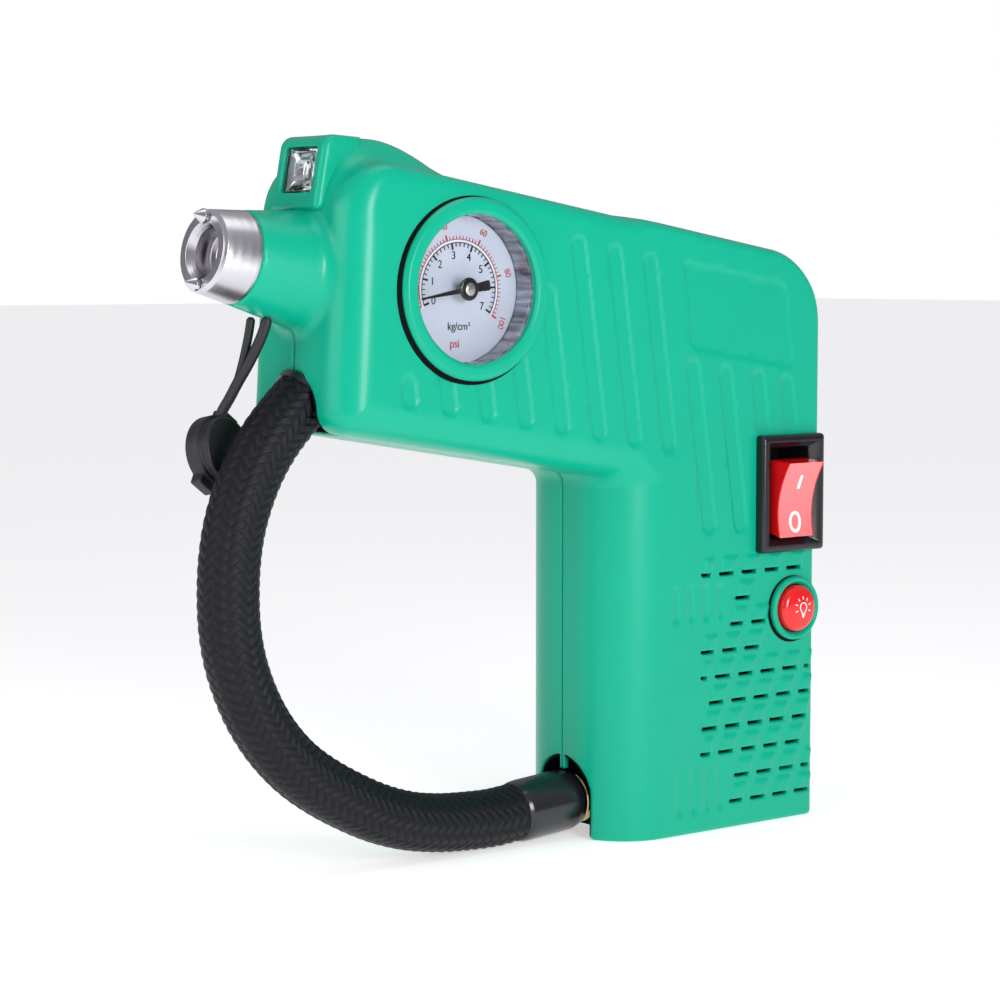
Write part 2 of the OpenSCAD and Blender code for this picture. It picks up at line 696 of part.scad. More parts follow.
// ---- lamp button --------------------------------------------------------------------------
module button_collar() {
  color("mediumseagreen") translate([button_at.x, -half_w, button_at.y]) rotate([90, 0, 0]) rotate_extrude()
    polygon([
      [button_d / 2 + 0.3, 0], [collar_d / 2, 0], [collar_d / 2, 0.8], [collar_d / 2 - 0.6, collar_proud],
      [button_d / 2 + 1, collar_proud], [button_d / 2 + 0.3, 0.9]
    ]);
}
module light_button() {
  r = button_d / 2;
  color("red") translate([button_at.x, -half_w, button_at.y]) rotate([90, 0, 0]) union() {
    rotate_extrude() polygon([
      [0, -6], [r, -6], [r, 1.9], [r - 0.4, 2.6], [r - 1.4, 3.2], [r - 3, 3.6], [0, 3.8]
    ]);
    translate([0, 0, -8]) cylinder(h = 2.5, r = 1.6);
  }
}
module light_switch() {
  color("black") translate([button_at.x, 0, button_at.y]) {
    cube_xz([9, 9], -11.4, -7.4);
    cube_xz([12.6, 13.2], -7.4, -6);
  }
}

// ---- motor --------------------------------------------------------------------------------
motor_at = -4;
motor_r = 15;
motor_z0 = 50;
motor_z1 = 98;
module motor_can() {
  color("silver") difference() {
    z_cyl(motor_at, 0, motor_r, motor_z0 + 3, motor_z1);
    z_cyl(motor_at, 0, motor_r - 1.5, motor_z0, motor_z1 - 1.5);
    z_cyl(motor_at, 0, 1.6 + fit, motor_z1 - 5, motor_z1 + 1);
  }
}
module motor_end_cap() {
  color("black") difference() {
    union() {
      z_cyl(motor_at, 0, motor_r, motor_z0, motor_z0 + 3);
      z_cyl(motor_at, 0, motor_r - 1.5, motor_z0 + 3, motor_z0 + 5);
    }
    z_cyl(motor_at, 0, 1.6 + fit, motor_z0 - 1, motor_z0 + 6);
    for (a = [45:90:315]) translate([motor_at, 0, motor_z0 - 1]) rotate(a)
      translate([6, -2, 0]) cube([5, 4, 7]);
  }
}
module motor_armature() {
  color("peru") difference() {
    z_cyl(motor_at, 0, 10.5, motor_z0 + 9, motor_z1 - 8);
    z_cyl(motor_at, 0, 1.6, motor_z0, motor_z1);
    for (a = [0:60:300]) translate([motor_at, 0, motor_z0]) rotate(a)
      translate([5, -0.8, 0]) cube([8, 1.6, 50]);
  }
}
module motor_shaft() {
  color("silver") z_cyl(motor_at, 0, 1.6, 31, pinion_z1);
}
pinion_z0 = 104;
pinion_z1 = 112;
gear_z0 = 105.2;
gear_z1 = 111.2;
gear_at = motor_at - gear_m * (pinion_n + crank_n) / 2;
// a spur gear's outline with straight flanks and room for backlash
module gear_2d(n, phase) {
  pitch_r = gear_m * n / 2;
  root = pitch_r - 0.95;
  tip = pitch_r + 0.66;
  function polar(r, half_t, a, s) = r * [cos(a + s * deg(half_t, r)), sin(a + s * deg(half_t, r))];
  function deg(half_t, r) = half_t / r * 180 / PI;
  polygon([for (i = [0:n - 1]) let (a = phase + 360 * i / n) each [
    polar(root, 0.74, a, -1), polar(pitch_r, 0.5, a, -1), polar(tip, 0.24, a, -1),
    polar(tip, 0.24, a, 1), polar(pitch_r, 0.5, a, 1), polar(root, 0.74, a, 1)
  ]]);
}
module motor_pinion() {
  color("goldenrod") difference() {
    translate([motor_at, 0, pinion_z0]) linear_extrude(pinion_z1 - pinion_z0) gear_2d(pinion_n, 180);
    z_cyl(motor_at, 0, 1.6, pinion_z0 - 1, pinion_z1 + 1);
  }
}
module crank_gear() {
  r = stroke / 2;
  color("whitesmoke") difference() {
    union() {
      translate([gear_at, 0, gear_z0]) linear_extrude(gear_z1 - gear_z0)
        gear_2d(crank_n, 180 / crank_n);
      z_cyl(gear_at, 0, 5, 103, gear_z0);
      z_cyl(gear_at - r, 0, 2.5, gear_z1, 114);
    }
    z_cyl(gear_at, 0, 3 + fit, 102, gear_z1 + 1);
    for (a = [60:60:300]) z_cyl(gear_at + 10 * cos(a), 10 * sin(a), 2.6, gear_z0 - 1, gear_z1 + 1);
  }
}
module gear_shaft() {
  color("silver") z_cyl(gear_at, 0, 3, 98, gear_z1);
}
module gearbox_frame() {
  color("darkgray") difference() {
    translate([-32, -17, motor_z1]) cube([45, 34, 3]);
    z_cyl(motor_at, 0, 5, motor_z1 - 1, motor_z1 + 4);
    z_cyl(gear_at, 0, 3, motor_z1 - 1, motor_z1 + 4);
  }
}
module cooling_fan() {
  color("black") union() {
    difference() {
      z_cyl(motor_at, 0, 4.4, 32, 41);
      z_cyl(motor_at, 0, 1.6, 31, 42);
    }
    for (a = [0:45:315]) translate([motor_at, 0, 33]) rotate(a)
      rotate([18, 0, 0]) translate([3.8, -0.6, 0]) cube([10, 1.2, 7]);
  }
}

// ---- compressor ---------------------------------------------------------------------------
cyl_z = 116.7;
piston_x = -65.6;
module piston_rod() {
  color("darkgray") difference() {
    union() {
      z_cyl(gear_at - stroke / 2, 0, 5, cyl_z - 2.3, cyl_z + 2.3);
      translate([piston_x, -3, cyl_z - 2.3]) cube([gear_at - stroke / 2 - piston_x, 6, 4.6]);
      x_cyl(0, cyl_z, bore_d / 2 - 0.4, piston_x - 4, piston_x);
    }
    z_cyl(gear_at - stroke / 2, 0, 2.6, cyl_z - 3, cyl_z + 3);
  }
}
module piston_cup() {
  color("dimgray") x_cyl(0, cyl_z, bore_d / 2 - fit, piston_x - 8.6, piston_x - 4);
}
module pump_cylinder() {
  color("gainsboro") difference() {
    union() {
      x_cyl(0, cyl_z, bore_d / 2 + 1.6, -75.6, -46);
      for (x = [-72:4.4:-50]) x_cyl(0, cyl_z, bore_d / 2 + 2.2, x, x + 1.4);
    }
    x_cyl(0, cyl_z, bore_d / 2, -76, -45);
  }
}
module cylinder_head() {
  color("gainsboro") difference() {
    x_cyl(0, cyl_z, bore_d / 2 + 2, -83, -75.6);
    x_cyl(0, cyl_z, 2, -84, -75);
  }
}
module air_manifold() {
  color("darkgoldenrod") difference() {
    union() {
      translate([-98, -5, 111]) cube([15, 10, 11.4]);
      translate([-98, -5, 122.4]) cube([10, 10, 13.6]);
      translate([-98, 0, 129.2]) cube([24, 8, 15.8]);
    }
    x_cyl(0, cyl_z, 2, -90, -82);
    outlet_frame() translate([0, 0, 12]) cylinder(h = pipe_end - 11, r = pipe_r);
  }
}
inlet_z = 31;
module power_inlet() {
  color("black") difference() {
    union() {
      x_cyl(0, inlet_z, 5.6, half_l - wall, half_l);
      x_cyl(0, inlet_z, 7, 24, half_l - wall);
    }
    x_cyl(0, inlet_z, 2.9, 26, half_l + 1);
  }
}

right_shell();
left_shell();
housing_screws();
lamp_housing();
lamp_reflector();
lamp_lens();
lamp_board();
lamp_led();
gauge_ring();
gauge_case();
gauge_dial();
gauge_needle();
gauge_pivot();
gauge_glass();
gauge_stem();
hammer_head();
hammer_tips();
nose_cap();
cap_tether();
hose_collar();
air_hose();
hose_ferrule();
chuck_nut();
chuck_body();
stow_socket();
switch_bezel();
switch_body();
switch_rocker();
rocker_pin();
switch_terminals();
light_button();
button_collar();
light_switch();
motor_can();
motor_end_cap();
motor_armature();
motor_shaft();
motor_pinion();
cooling_fan();
gearbox_frame();
crank_gear();
gear_shaft();
piston_rod();
piston_cup();
pump_cylinder();
cylinder_head();
air_manifold();
outlet_elbow();
power_inlet();
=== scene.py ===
"""Looks of a handheld 12 V air pump: shells, gauge, lamp, nose, switch, button and braided hose.

Lengths in this script are millimetres in the frame's axes: X from the nose to the back, the
gauge faces -Y, Z is up. They are turned into metres when a mesh is made.
"""
import math

import bpy
import numpy as np
import openvdb
from mathutils import Matrix, Vector


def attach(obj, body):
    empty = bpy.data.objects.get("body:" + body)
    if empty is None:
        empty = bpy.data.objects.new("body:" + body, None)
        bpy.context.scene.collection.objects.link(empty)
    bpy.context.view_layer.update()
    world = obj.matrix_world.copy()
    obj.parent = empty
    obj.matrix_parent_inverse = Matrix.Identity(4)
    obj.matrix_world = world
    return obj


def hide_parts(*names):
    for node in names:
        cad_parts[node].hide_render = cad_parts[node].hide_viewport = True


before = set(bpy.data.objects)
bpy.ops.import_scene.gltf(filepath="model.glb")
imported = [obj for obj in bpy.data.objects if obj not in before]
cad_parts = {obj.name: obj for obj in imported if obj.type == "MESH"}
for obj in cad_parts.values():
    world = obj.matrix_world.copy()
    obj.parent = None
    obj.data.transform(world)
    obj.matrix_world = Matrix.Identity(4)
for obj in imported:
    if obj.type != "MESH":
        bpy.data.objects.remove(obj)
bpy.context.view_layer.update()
MM = 0.001
TAU = 2 * math.pi

# ---- the design's own dimensions ---------------------------------------------------------------
HALF_W = 21.1
HALF_L = 35.8
WALL = 2.2
TILT = math.radians(9.4)
SLOPE = math.tan(TILT)
FINE_STEP = 0.42
NOSE_AT = (-117.6, 0, 145.5)
CHIN = (-119.5, 107.8)
BROW = (-116.05, 172.3)
GAUGE = (-80.7, 140.8)
WINDOW_R = 17.85
RING_R = 21.85
CASE_R = 19.2
DIAL_Y = -14.8
POINTER_Y = -18.55
SWITCH = (23.8, 87)
PIVOT_Y = -17.5
BUTTON = (26.3, 56.3)
BUTTON_R = 6.1
INLET_Z = 31
SCREWS = [(-107, 150), (-40, 147), (26, 134), (27, 109), (-27, 44), (27, 11)]
HOSE_R = 7.3
HOSE = [
    (-116, 0, 115), (-120.4, 0, 111), (-125.4, 0, 105.6), (-129.6, 0, 99.6), (-133, 0, 92.8),
    (-135.6, 0, 85.2), (-137, 0, 77.2), (-137.4, 0, 69), (-137, 0, 61.4), (-135.6, 0, 54),
    (-133, 0, 46.6), (-129.4, 0, 39.6), (-124.6, 0, 33), (-118.6, 0, 27), (-111.4, 0, 21.8),
    (-103, 0, 17), (-94, 0, 12.8), (-85, 0, 9.9), (-76, 0, 8.3), (-67, 0, 7.6), (-59, 0, 7.4),
    (-52, 0, 7.9),
]


def top_z(x):
    return 153.1 - SLOPE * x


def under_z(x):
    return 88 - SLOPE * x


# ---- camera ------------------------------------------------------------------------------------
def make_camera():
    data = bpy.data.cameras.new("camera")
    data.lens = 98.93
    data.sensor_width = 36
    data.clip_start = 0.01
    cam = bpy.data.objects.new("camera", data)
    bpy.context.scene.collection.objects.link(cam)
    pitch = math.radians(4.83)
    ahead = Vector((0.6266 * math.cos(pitch), 0.7793 * math.cos(pitch), -math.sin(pitch)))
    cam.location = (-0.4867, -0.5355, 0.1459)
    cam.rotation_euler = ahead.to_track_quat("-Z", "Y").to_euler()
    bpy.context.scene.camera = cam


# ---- mesh helpers ------------------------------------------------------------------------------
def new_object(name, points, faces, material, smooth=True, normals=None):
    """An object from points in millimetres."""
    mesh = bpy.data.meshes.new(name)
    mesh.from_pydata((np.asarray(points, float) * MM).tolist(), [], [tuple(f) for f in faces])
    mesh.validate()
    mesh.update()
    if smooth:
        mesh.shade_smooth()
    if normals is not None and len(mesh.vertices) == len(normals):
        mesh.normals_split_custom_set_from_vertices(normals)
    for m in material if isinstance(material, (list, tuple)) else [material]:
        mesh.materials.append(m)
    obj = bpy.data.objects.new(name, mesh)
    bpy.context.scene.collection.objects.link(obj)
    return obj


def place(obj, body, slot, *nodes):
    """The piece rides on a body and stands for CAD nodes; the slot argument is not used."""
    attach(obj, body)
    if nodes:
        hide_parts(*nodes)
    return obj


def sharpen(obj, angle=35):
    """Faces meeting at more than the angle keep a crisp edge."""
    obj.data.set_sharp_from_angle(angle=math.radians(angle))
    return obj


def spin(profile, steps, to_point, closed=True):
    """Points and faces of a profile of (radius, height) turned around an axis."""
    points, faces = [], []
    n = len(profile)
    for k in range(steps):
        a = TAU * k / steps
        points += [to_point(r, h, a) for r, h in profile]
    for k in range(steps):
        for i in range(n if closed else n - 1):
            j, m = (i + 1) % n, (k + 1) % steps
            faces.append((k * n + i, k * n + j, m * n + j, m * n + i))
    return points, faces


def fix_winding(points, faces):
    """Turns all faces over if the closed surface encloses a negative volume."""
    p = np.asarray(points, float)
    volume = 0.0
    for f in faces:
        for i in range(1, len(f) - 1):
            volume += np.dot(p[f[0]], np.cross(p[f[i]], p[f[i + 1]]))
    return [tuple(reversed(f)) for f in faces] if volume < 0 else faces


def rounded_profile(corners, steps=5):
    """A closed profile whose corners (a, b, radius) are replaced by arcs."""
    out = []
    n = len(corners)
    for i, (a, b, r) in enumerate(corners):
        p = np.array((a, b), float)
        if r <= 0:
            out.append(tuple(p))
            continue
        u = np.array(corners[i - 1][:2], float) - p
        v = np.array(corners[(i + 1) % n][:2], float) - p
        u /= np.linalg.norm(u)
        v /= np.linalg.norm(v)
        half = math.acos(max(-1, min(1, float(u @ v)))) / 2
        centre = p + (u + v) / np.linalg.norm(u + v) * r / math.sin(half)
        start = p + u * r / math.tan(half) - centre
        end = p + v * r / math.tan(half) - centre
        a0 = math.atan2(start[1], start[0])
        turn = (math.atan2(end[1], end[0]) - a0 + math.pi) % TAU - math.pi
        for k in range(steps + 1):
            t = a0 + turn * k / steps
            out.append((centre[0] + r * math.cos(t), centre[1] + r * math.sin(t)))
    return out


def lathe_y(name, centre, corners, material, steps=160, angle=40):
    """A turned ring about an axis along -Y through centre (x, z); heights stand out of the side."""
    profile = rounded_profile(corners)

    def point(r, h, a):
        return (centre[0] + r * math.cos(a), -HALF_W - h, centre[1] + r * math.sin(a))

    points, faces = spin(profile, steps, point)
    return sharpen(new_object(name, points, fix_winding(points, faces), material), angle)


def axis_point(origin, direction):
    """A function that places (radius, height, angle) about an axis through origin."""
    d = Vector(direction).normalized()
    u = d.cross(Vector((0, 1, 0))).normalized()
    v = d.cross(u)

    def point(r, h, a):
        p = Vector(origin) + d * h + u * (r * math.cos(a)) + v * (r * math.sin(a))
        return tuple(p)

    return point


def lathe_axis(name, origin, direction, corners, material, steps=96, angle=40):
    points, faces = spin(rounded_profile(corners), steps, axis_point(origin, direction))
    return sharpen(new_object(name, points, fix_winding(points, faces), material), angle)


def join(name, objects):
    """One object from several, with their materials."""
    with bpy.context.temp_override(active_object=objects[0], selected_editable_objects=objects):
        bpy.ops.object.join()
    objects[0].name = name
    objects[0].data.name = name
    return objects[0]


# ---- distance fields ---------------------------------------------------------------------------
class Field:
    """A box of sample points for signed distances in millimetres, negative inside."""

    def __init__(self, low, high, step):
        self.low, self.step = np.array(low, float), step
        n = np.ceil((np.array(high, float) - self.low) / step).astype(int) + 1
        axes = [(self.low[i] + step * np.arange(n[i])).astype(np.float32) for i in range(3)]
        self.x = axes[0][:, None, None]
        self.y = axes[1][None, :, None]
        self.z = axes[2][None, None, :]
        self.shape = tuple(n)

    def mesh(self, name, distance, material, adaptivity=0.0):
        """The surface where the distance is zero, shaded by the field's own slope."""
        d = np.array(np.broadcast_to(distance, self.shape), dtype=np.float32)
        d[0], d[-1], d[:, 0], d[:, -1], d[:, :, 0], d[:, :, -1] = (self.step,) * 6
        np.clip(d, -3 * self.step, 3 * self.step, out=d)
        grid = openvdb.FloatGrid(3 * self.step)
        grid.copyFromArray(d)
        points, tris, quads = grid.convertToPolygons(isovalue=0.0, adaptivity=adaptivity)
        faces = [tuple(f) for f in tris.tolist()] + [tuple(f) for f in quads.tolist()]
        sample = np.clip(points, 0, np.array(self.shape) - 1.001)
        base = sample.astype(int)
        frac = (sample - base).astype(np.float32)
        normals = np.zeros((len(points), 3), np.float32)
        for axis in range(3):
            slope = np.gradient(d, axis=axis)
            value = 0
            for corner in range(8):
                o = [(corner >> k) & 1 for k in range(3)]
                w = 1.0
                for k in range(3):
                    w = w * (frac[:, k] if o[k] else 1 - frac[:, k])
                value = value + w * slope[base[:, 0] + o[0], base[:, 1] + o[1], base[:, 2] + o[2]]
            normals[:, axis] = value
            del slope
        normals /= np.maximum(np.linalg.norm(normals, axis=1), 1e-6)[:, None]
        place_mm = points * self.step + self.low
        # VDB's faces may be wound inwards: compare one sample of them with the slope
        f = np.array([q[:3] for q in faces[:2000]])
        p = place_mm[f]
        outward = np.cross(p[:, 1] - p[:, 0], p[:, 2] - p[:, 0])
        if (outward * normals[f[:, 0]]).sum() < 0:
            faces = [tuple(reversed(q)) for q in faces]
        return new_object(name, place_mm, faces, material, True, normals)


def both(a, b, r=0.0):
    """Intersection, its edge rounded to radius r."""
    if np.isscalar(r) and r <= 0:
        return np.maximum(a, b)
    a, b = a + r, b + r
    return np.minimum(np.maximum(a, b), 0) + np.hypot(np.maximum(a, 0), np.maximum(b, 0)) - r


def either(a, b, r=0.0):
    """Union, its inner corner filled to radius r."""
    return -both(-a, -b, r)


def plate(u, v, half_u, half_v, r):
    """Distance to a rounded rectangle centred on the origin of u and v."""
    qu, qv = np.abs(u) - half_u + r, np.abs(v) - half_v + r
    return np.hypot(np.maximum(qu, 0), np.maximum(qv, 0)) + np.minimum(np.maximum(qu, qv), 0) - r


def line(x, z, a, b):
    """Distance from the line through a and b, positive on its left."""
    dx, dz = b[0] - a[0], b[1] - a[1]
    return ((z - a[1]) * dx - (x - a[0]) * dz) / math.hypot(dx, dz)


def step_up(distance, width):
    """0 outside an outline, 1 further than width inside it, with a soft slope between."""
    t = np.clip(-distance / width, 0, 1)
    return t * t * (3 - 2 * t)


# ---- body --------------------------------------------------------------------------------------
def edge_radius(d_top, d_face, d_under, d_rear):
    """How round the barrel's long edges are, blended from one edge to the next."""
    total = weight = 0
    for d, r in ((d_top, 3.2), (d_face, 9.0), (d_under, 8.0), (d_rear, 3.0)):
        w = np.exp(np.maximum(d, -60) / 4)
        total, weight = total + w * r, weight + w
    return total / weight


def body_field(f):
    """The closed outer form of both shells, without the cone and the lamp's hump."""
    x, y, z = f.x, f.y, f.z
    c = math.cos(TILT)
    side = np.abs(y) - HALF_W
    d_top = (z - top_z(x)) * c
    d_under = (under_z(x) - z) * c
    d_face = line(x, z, CHIN, BROW)
    d_rear = x - HALF_L
    outline = both(both(both(d_top, d_face, 14), d_rear, 16), d_under, 5)
    barrel = both(side, outline, edge_radius(d_top, d_face, d_under, d_rear))
    plan = both(both(side, -HALF_L - x, 16.6), d_rear, 3)
    grip = both(both(plan, -z, 1.2), both(d_top, d_rear, 16), 3.2)
    return np.maximum(either(barrel, grip, 3.0), side)


def nose_coordinates(f):
    c, s = math.cos(TILT), math.sin(TILT)
    dx, dz = f.x - NOSE_AT[0], f.z - NOSE_AT[2]
    return dx * c - dz * s, np.hypot(f.y, dx * s + dz * c)


def cone_field(f):
    along, radial = nose_coordinates(f)
    side = (radial - (11.15 + (along + 17) * 0.165)) * 0.987
    return np.maximum(both(side, -17 - along, 0.5), along - 6)


HUMP_TOP = [(-116, 177), (-92, 175.8), (-80.2, 166.3)]


def hump_field(f):
    """The rise behind the lamp's frame."""
    top = line(f.x, f.z, HUMP_TOP[0], HUMP_TOP[1])
    slope = line(f.x, f.z, HUMP_TOP[1], HUMP_TOP[2])
    front = line(f.x, f.z, (-113.6, 150), (-112.4, 180))
    side = both(both(top, slope, 5), front, 1.5)
    return both(np.maximum(side, 150 - f.z), np.abs(f.y) - 9.4, 4)


def arch_field(f, top, r, x0, x1, low):
    """An arch-topped passage along X."""
    v = f.z - (top - r)
    section = np.where(v > 0, np.hypot(f.y, v), np.abs(f.y)) - r
    section = np.maximum(section, low - f.z)
    return np.maximum(section, np.maximum(x0 - f.x, f.x - x1))


GROOVE_LEAN = math.radians(8.3)
BARREL_GROOVES = [
    (-96.9 + 11.7 * i, under_z(-96.9 + 11.7 * i) + 8.9, top, 5.4, GROOVE_LEAN, 2.5)
    for i, top in enumerate([121.6, 127, 127, 127, 142.8, 155.1, 153, 150.9])
]
GRIP_GROOVES = [
    (x, low, top, 5.4, GROOVE_LEAN, 2.5)
    for x, low, top in ((-0.9, 77.9, 124), (10.2, 77.4, 122), (18, 102.6, 120.4), (28.2, 102.6, 118.8))
]
SOFT_GROOVES = [(-13.6 + 5.2 * i, 55, 65, 3.2, 0.01, 0.8) for i in range(4)] + [
    (-12.4 + 4.75 * i, 5.4, 17.8, 2.6, 0.01, 0.8) for i in range(4)
]
LABEL = [(-13.6, 148.2), (23.2, 142.1), (26.2, 119), (-11, 125.2)]


def groove_distance(x, z, groove):
    foot_x, low, high, width, lean, r = groove
    dx, dz = x - foot_x, z - low
    u = dx * math.cos(lean) + dz * math.sin(lean)
    v = -dx * math.sin(lean) + dz * math.cos(lean)
    return plate(u + width / 2, v - (high - low) / 2, width / 2, (high - low) / 2, r)


def vent_cells():
    """Every louvre as (x, z, width), cut off at the panel's edges and around the button."""
    cells = []
    for row in range(10):
        left = 3.9 if row in (1, 2, 8, 9) else -6.5
        z = 66.9 - 6.66 * row
        for i in range(-2, 9):
            x = -0.3 - 2.3 * row + 8.1 * i
            a, b = max(x, left), min(x + 5.4, 33)
            gap = math.hypot(
                max(a - BUTTON[0], BUTTON[0] - b, 0), max(z - BUTTON[1], BUTTON[1] - z - 4.6, 0)
            )
            if b - a > 1.2 and gap > 8.7:
                cells.append((a, z, b - a))
    return cells


def side_relief(f, near):
    """Height of the side's relief over its flat, and the distance to the through slots."""
    x, z = f.x, f.z
    height = np.zeros(np.broadcast(x, z).shape, np.float32)
    for g in BARREL_GROOVES:
        height -= 0.42 * step_up(groove_distance(x, z, g), 1.0)
    if near:
        for g in GRIP_GROOVES:
            height -= 0.42 * step_up(groove_distance(x, z, g), 1.0)
        for g in SOFT_GROOVES:
            height -= 0.4 * step_up(groove_distance(x, z, g), 1.3)
    label = -100.0
    for a, b in zip(LABEL, LABEL[1:] + LABEL[:1]):
        label = both(label, line(x, z, a, b), 2.0)
    height = height - 0.3 * step_up(label, 0.9)
    slots = np.full_like(height, 50)
    for a, low, w in vent_cells():
        dz = z - low
        lean = x - a - 1.3 * dz / 4.6
        cell = plate(lean - w / 2, dz - 2.3, w / 2, 2.3, 0.5)
        height = height + 0.42 * step_up(cell, 0.7)
        slots = np.minimum(slots, plate(x - a - w / 2, dz - 0.1, w / 2 - 0.1, 0.45, 0.1))
    return height, slots


def shell_field(f, near):
    """One shell: near is the gauge's side, at -Y."""
    x, y, z = f.x, f.y, f.z
    outer = body_field(f)
    height, slots = side_relief(f, near)
    outside = np.abs(y) - HALF_W - height
    flat = both(outer, outside, 0.0)
    outer = np.where(height > 0.01, np.maximum(outer - height, np.minimum(outside, outer)), flat)
    outer = either(outer, cone_field(f), 2.4)
    outer = either(outer, hump_field(f), 6.0)
    cavity = body_field(f) + WALL
    bosses = 50.0
    for sx, sz in SCREWS:
        bosses = np.minimum(bosses, np.hypot(x - sx, z - sz) - 4.2)
    cavity = np.maximum(cavity, -bosses)
    cavity = np.maximum(cavity, -arch_field(f, 123, 12, -130, -108, 80))
    cavity = np.maximum(cavity, -arch_field(f, 23, 12, -50, -20, -5))
    along, radial = nose_coordinates(f)
    cavity = np.maximum(cavity, -np.maximum(radial - 12.5, along - 8))
    d = np.maximum(outer, -cavity)
    d = both(d, -arch_field(f, 121, 10, -131, -110, 60), 0.5)
    d = both(d, -arch_field(f, 21, 10, -51, -22.2, -20), 0.5)
    d = np.maximum(d, -np.maximum(radial - 8, along - 9))
    d = np.maximum(d, -(np.hypot(y, z - INLET_Z) - 5.6 + 50 * (x < 15)))
    lamp_hole = np.maximum(np.abs(y) - 7.5, np.maximum(x + 100, np.abs(z - 168) - 7))
    d = np.maximum(d, -lamp_hole)
    tab = np.maximum(np.abs(y) - 0.8, np.maximum(np.abs(x + HALF_L - 1) - 1, np.abs(z - 19.3) - 2))
    if near:
        d = both(d, CASE_R + 0.1 - np.hypot(x - GAUGE[0], z - GAUGE[1]), 0.3)
        cut = plate(x - SWITCH[0], z - SWITCH[1], 9.2, 13.4, 0.3)
        d = np.maximum(d, -(cut + 50 * (y > -10)))
        hole = np.hypot(x - BUTTON[0], z - BUTTON[1]) - BUTTON_R - 0.3
        d = np.maximum(d, -(hole + 50 * (y > -10)))
        d = np.minimum(d, tab)
        d = both(d, y + 0.12, 0.35)
    else:
        for sx, sz in SCREWS:
            d = np.maximum(d, -np.maximum(np.hypot(x - sx, z - sz) - 2.9, 11.4 - y))
        d = np.minimum(d, tab)
        d = both(d, 0.12 - y, 0.35)
    return np.maximum(d, -(slots + 50 * (np.abs(y) < 17)))


def make_shells(mats):
    step = FINE_STEP
    for name, near, y0, y1 in (("right_cover", True, -23.2, 1.2), ("left_cover", False, -1.2, 23.2)):
        f = Field((-139, y0, -1.5), (38, y1, 180), step)
        shell = f.mesh(name, shell_field(f, near), mats["green"], 0.03)
        place(shell, "housing", "green_shell", "right_shell" if near else "left_shell")


make_camera()


# ---- materials ---------------------------------------------------------------------------------
def make_material(name, colour, rough, metal=0.0, vary=0.06, grain=350, bump=0.04, stretch=None,
                  **inputs):
    """A procedural finish: mottled colour and roughness, and a fine bump at the given grain."""
    m = bpy.data.materials.new(name)
    m.use_nodes = True
    nodes, links = m.node_tree.nodes, m.node_tree.links
    shader = nodes["Principled BSDF"]
    coords = nodes.new("ShaderNodeTexCoord")
    broad = nodes.new("ShaderNodeTexNoise")
    broad.inputs["Scale"].default_value = grain / 9
    broad.inputs["Detail"].default_value = 4
    ramp = nodes.new("ShaderNodeValToRGB")
    low = [c * (1 - vary) for c in colour]
    high = [min(1, c * (1 + vary) + 0.01 * vary) for c in colour]
    ramp.color_ramp.elements[0].position = 0.3
    ramp.color_ramp.elements[0].color = (*low, 1)
    ramp.color_ramp.elements[1].position = 0.7
    ramp.color_ramp.elements[1].color = (*high, 1)
    fine = nodes.new("ShaderNodeTexNoise")
    fine.inputs["Scale"].default_value = grain * 4
    fine.inputs["Detail"].default_value = 3
    spread = nodes.new("ShaderNodeMapRange")
    spread.inputs["To Min"].default_value = max(0.02, rough * 0.85)
    spread.inputs["To Max"].default_value = min(1, rough * 1.15)
    relief = nodes.new("ShaderNodeBump")
    relief.inputs["Strength"].default_value = bump
    relief.inputs["Distance"].default_value = 0.0002
    drawn = nodes.new("ShaderNodeMapping")
    drawn.inputs["Scale"].default_value = stretch or (1, 1, 1)
    links.new(coords.outputs["Object"], drawn.inputs["Vector"])
    links.new(drawn.outputs["Vector"], broad.inputs["Vector"])
    links.new(drawn.outputs["Vector"], fine.inputs["Vector"])
    links.new(broad.outputs["Fac"], ramp.inputs["Fac"])
    links.new(ramp.outputs["Color"], shader.inputs["Base Color"])
    links.new(broad.outputs["Fac"], spread.inputs["Value"])
    links.new(spread.outputs["Result"], shader.inputs["Roughness"])
    links.new(fine.outputs["Fac"], relief.inputs["Height"])
    links.new(relief.outputs["Normal"], shader.inputs["Normal"])
    shader.inputs["Metallic"].default_value = metal
    for key, value in inputs.items():
        shader.inputs[key.replace("_", " ")].default_value = value
    return m


def turned_metal(name, colour, rough, rings):
    """Lathe-turned metal: fine circular marks about the object's own Z axis."""
    m = make_material(name, colour, rough, 1.0, 0.05, 700, 0.03, Anisotropic=0.75)
    nodes, links = m.node_tree.nodes, m.node_tree.links
    shader = nodes["Principled BSDF"]
    tangent = nodes.new("ShaderNodeTangent")
    tangent.direction_type = "RADIAL"
    tangent.axis = "Z"
    links.new(tangent.outputs["Tangent"], shader.inputs["Tangent"])
    marks = nodes.new("ShaderNodeTexWave")
    marks.wave_type = "RINGS"
    marks.rings_direction = "Z"
    marks.inputs["Scale"].default_value = rings
    marks.inputs["Distortion"].default_value = 0.4
    relief = nodes.new("ShaderNodeBump")
    relief.inputs["Strength"].default_value = 0.08
    relief.inputs["Distance"].default_value = 0.0001
    coords = next(n for n in nodes if n.type == "TEX_COORD")
    old = next(n for n in nodes if n.type == "BUMP")
    links.new(coords.outputs["Object"], marks.inputs["Vector"])
    links.new(marks.outputs["Fac"], relief.inputs["Height"])
    links.new(old.outputs["Normal"], relief.inputs["Normal"])
    links.new(relief.outputs["Normal"], shader.inputs["Normal"])
    return m


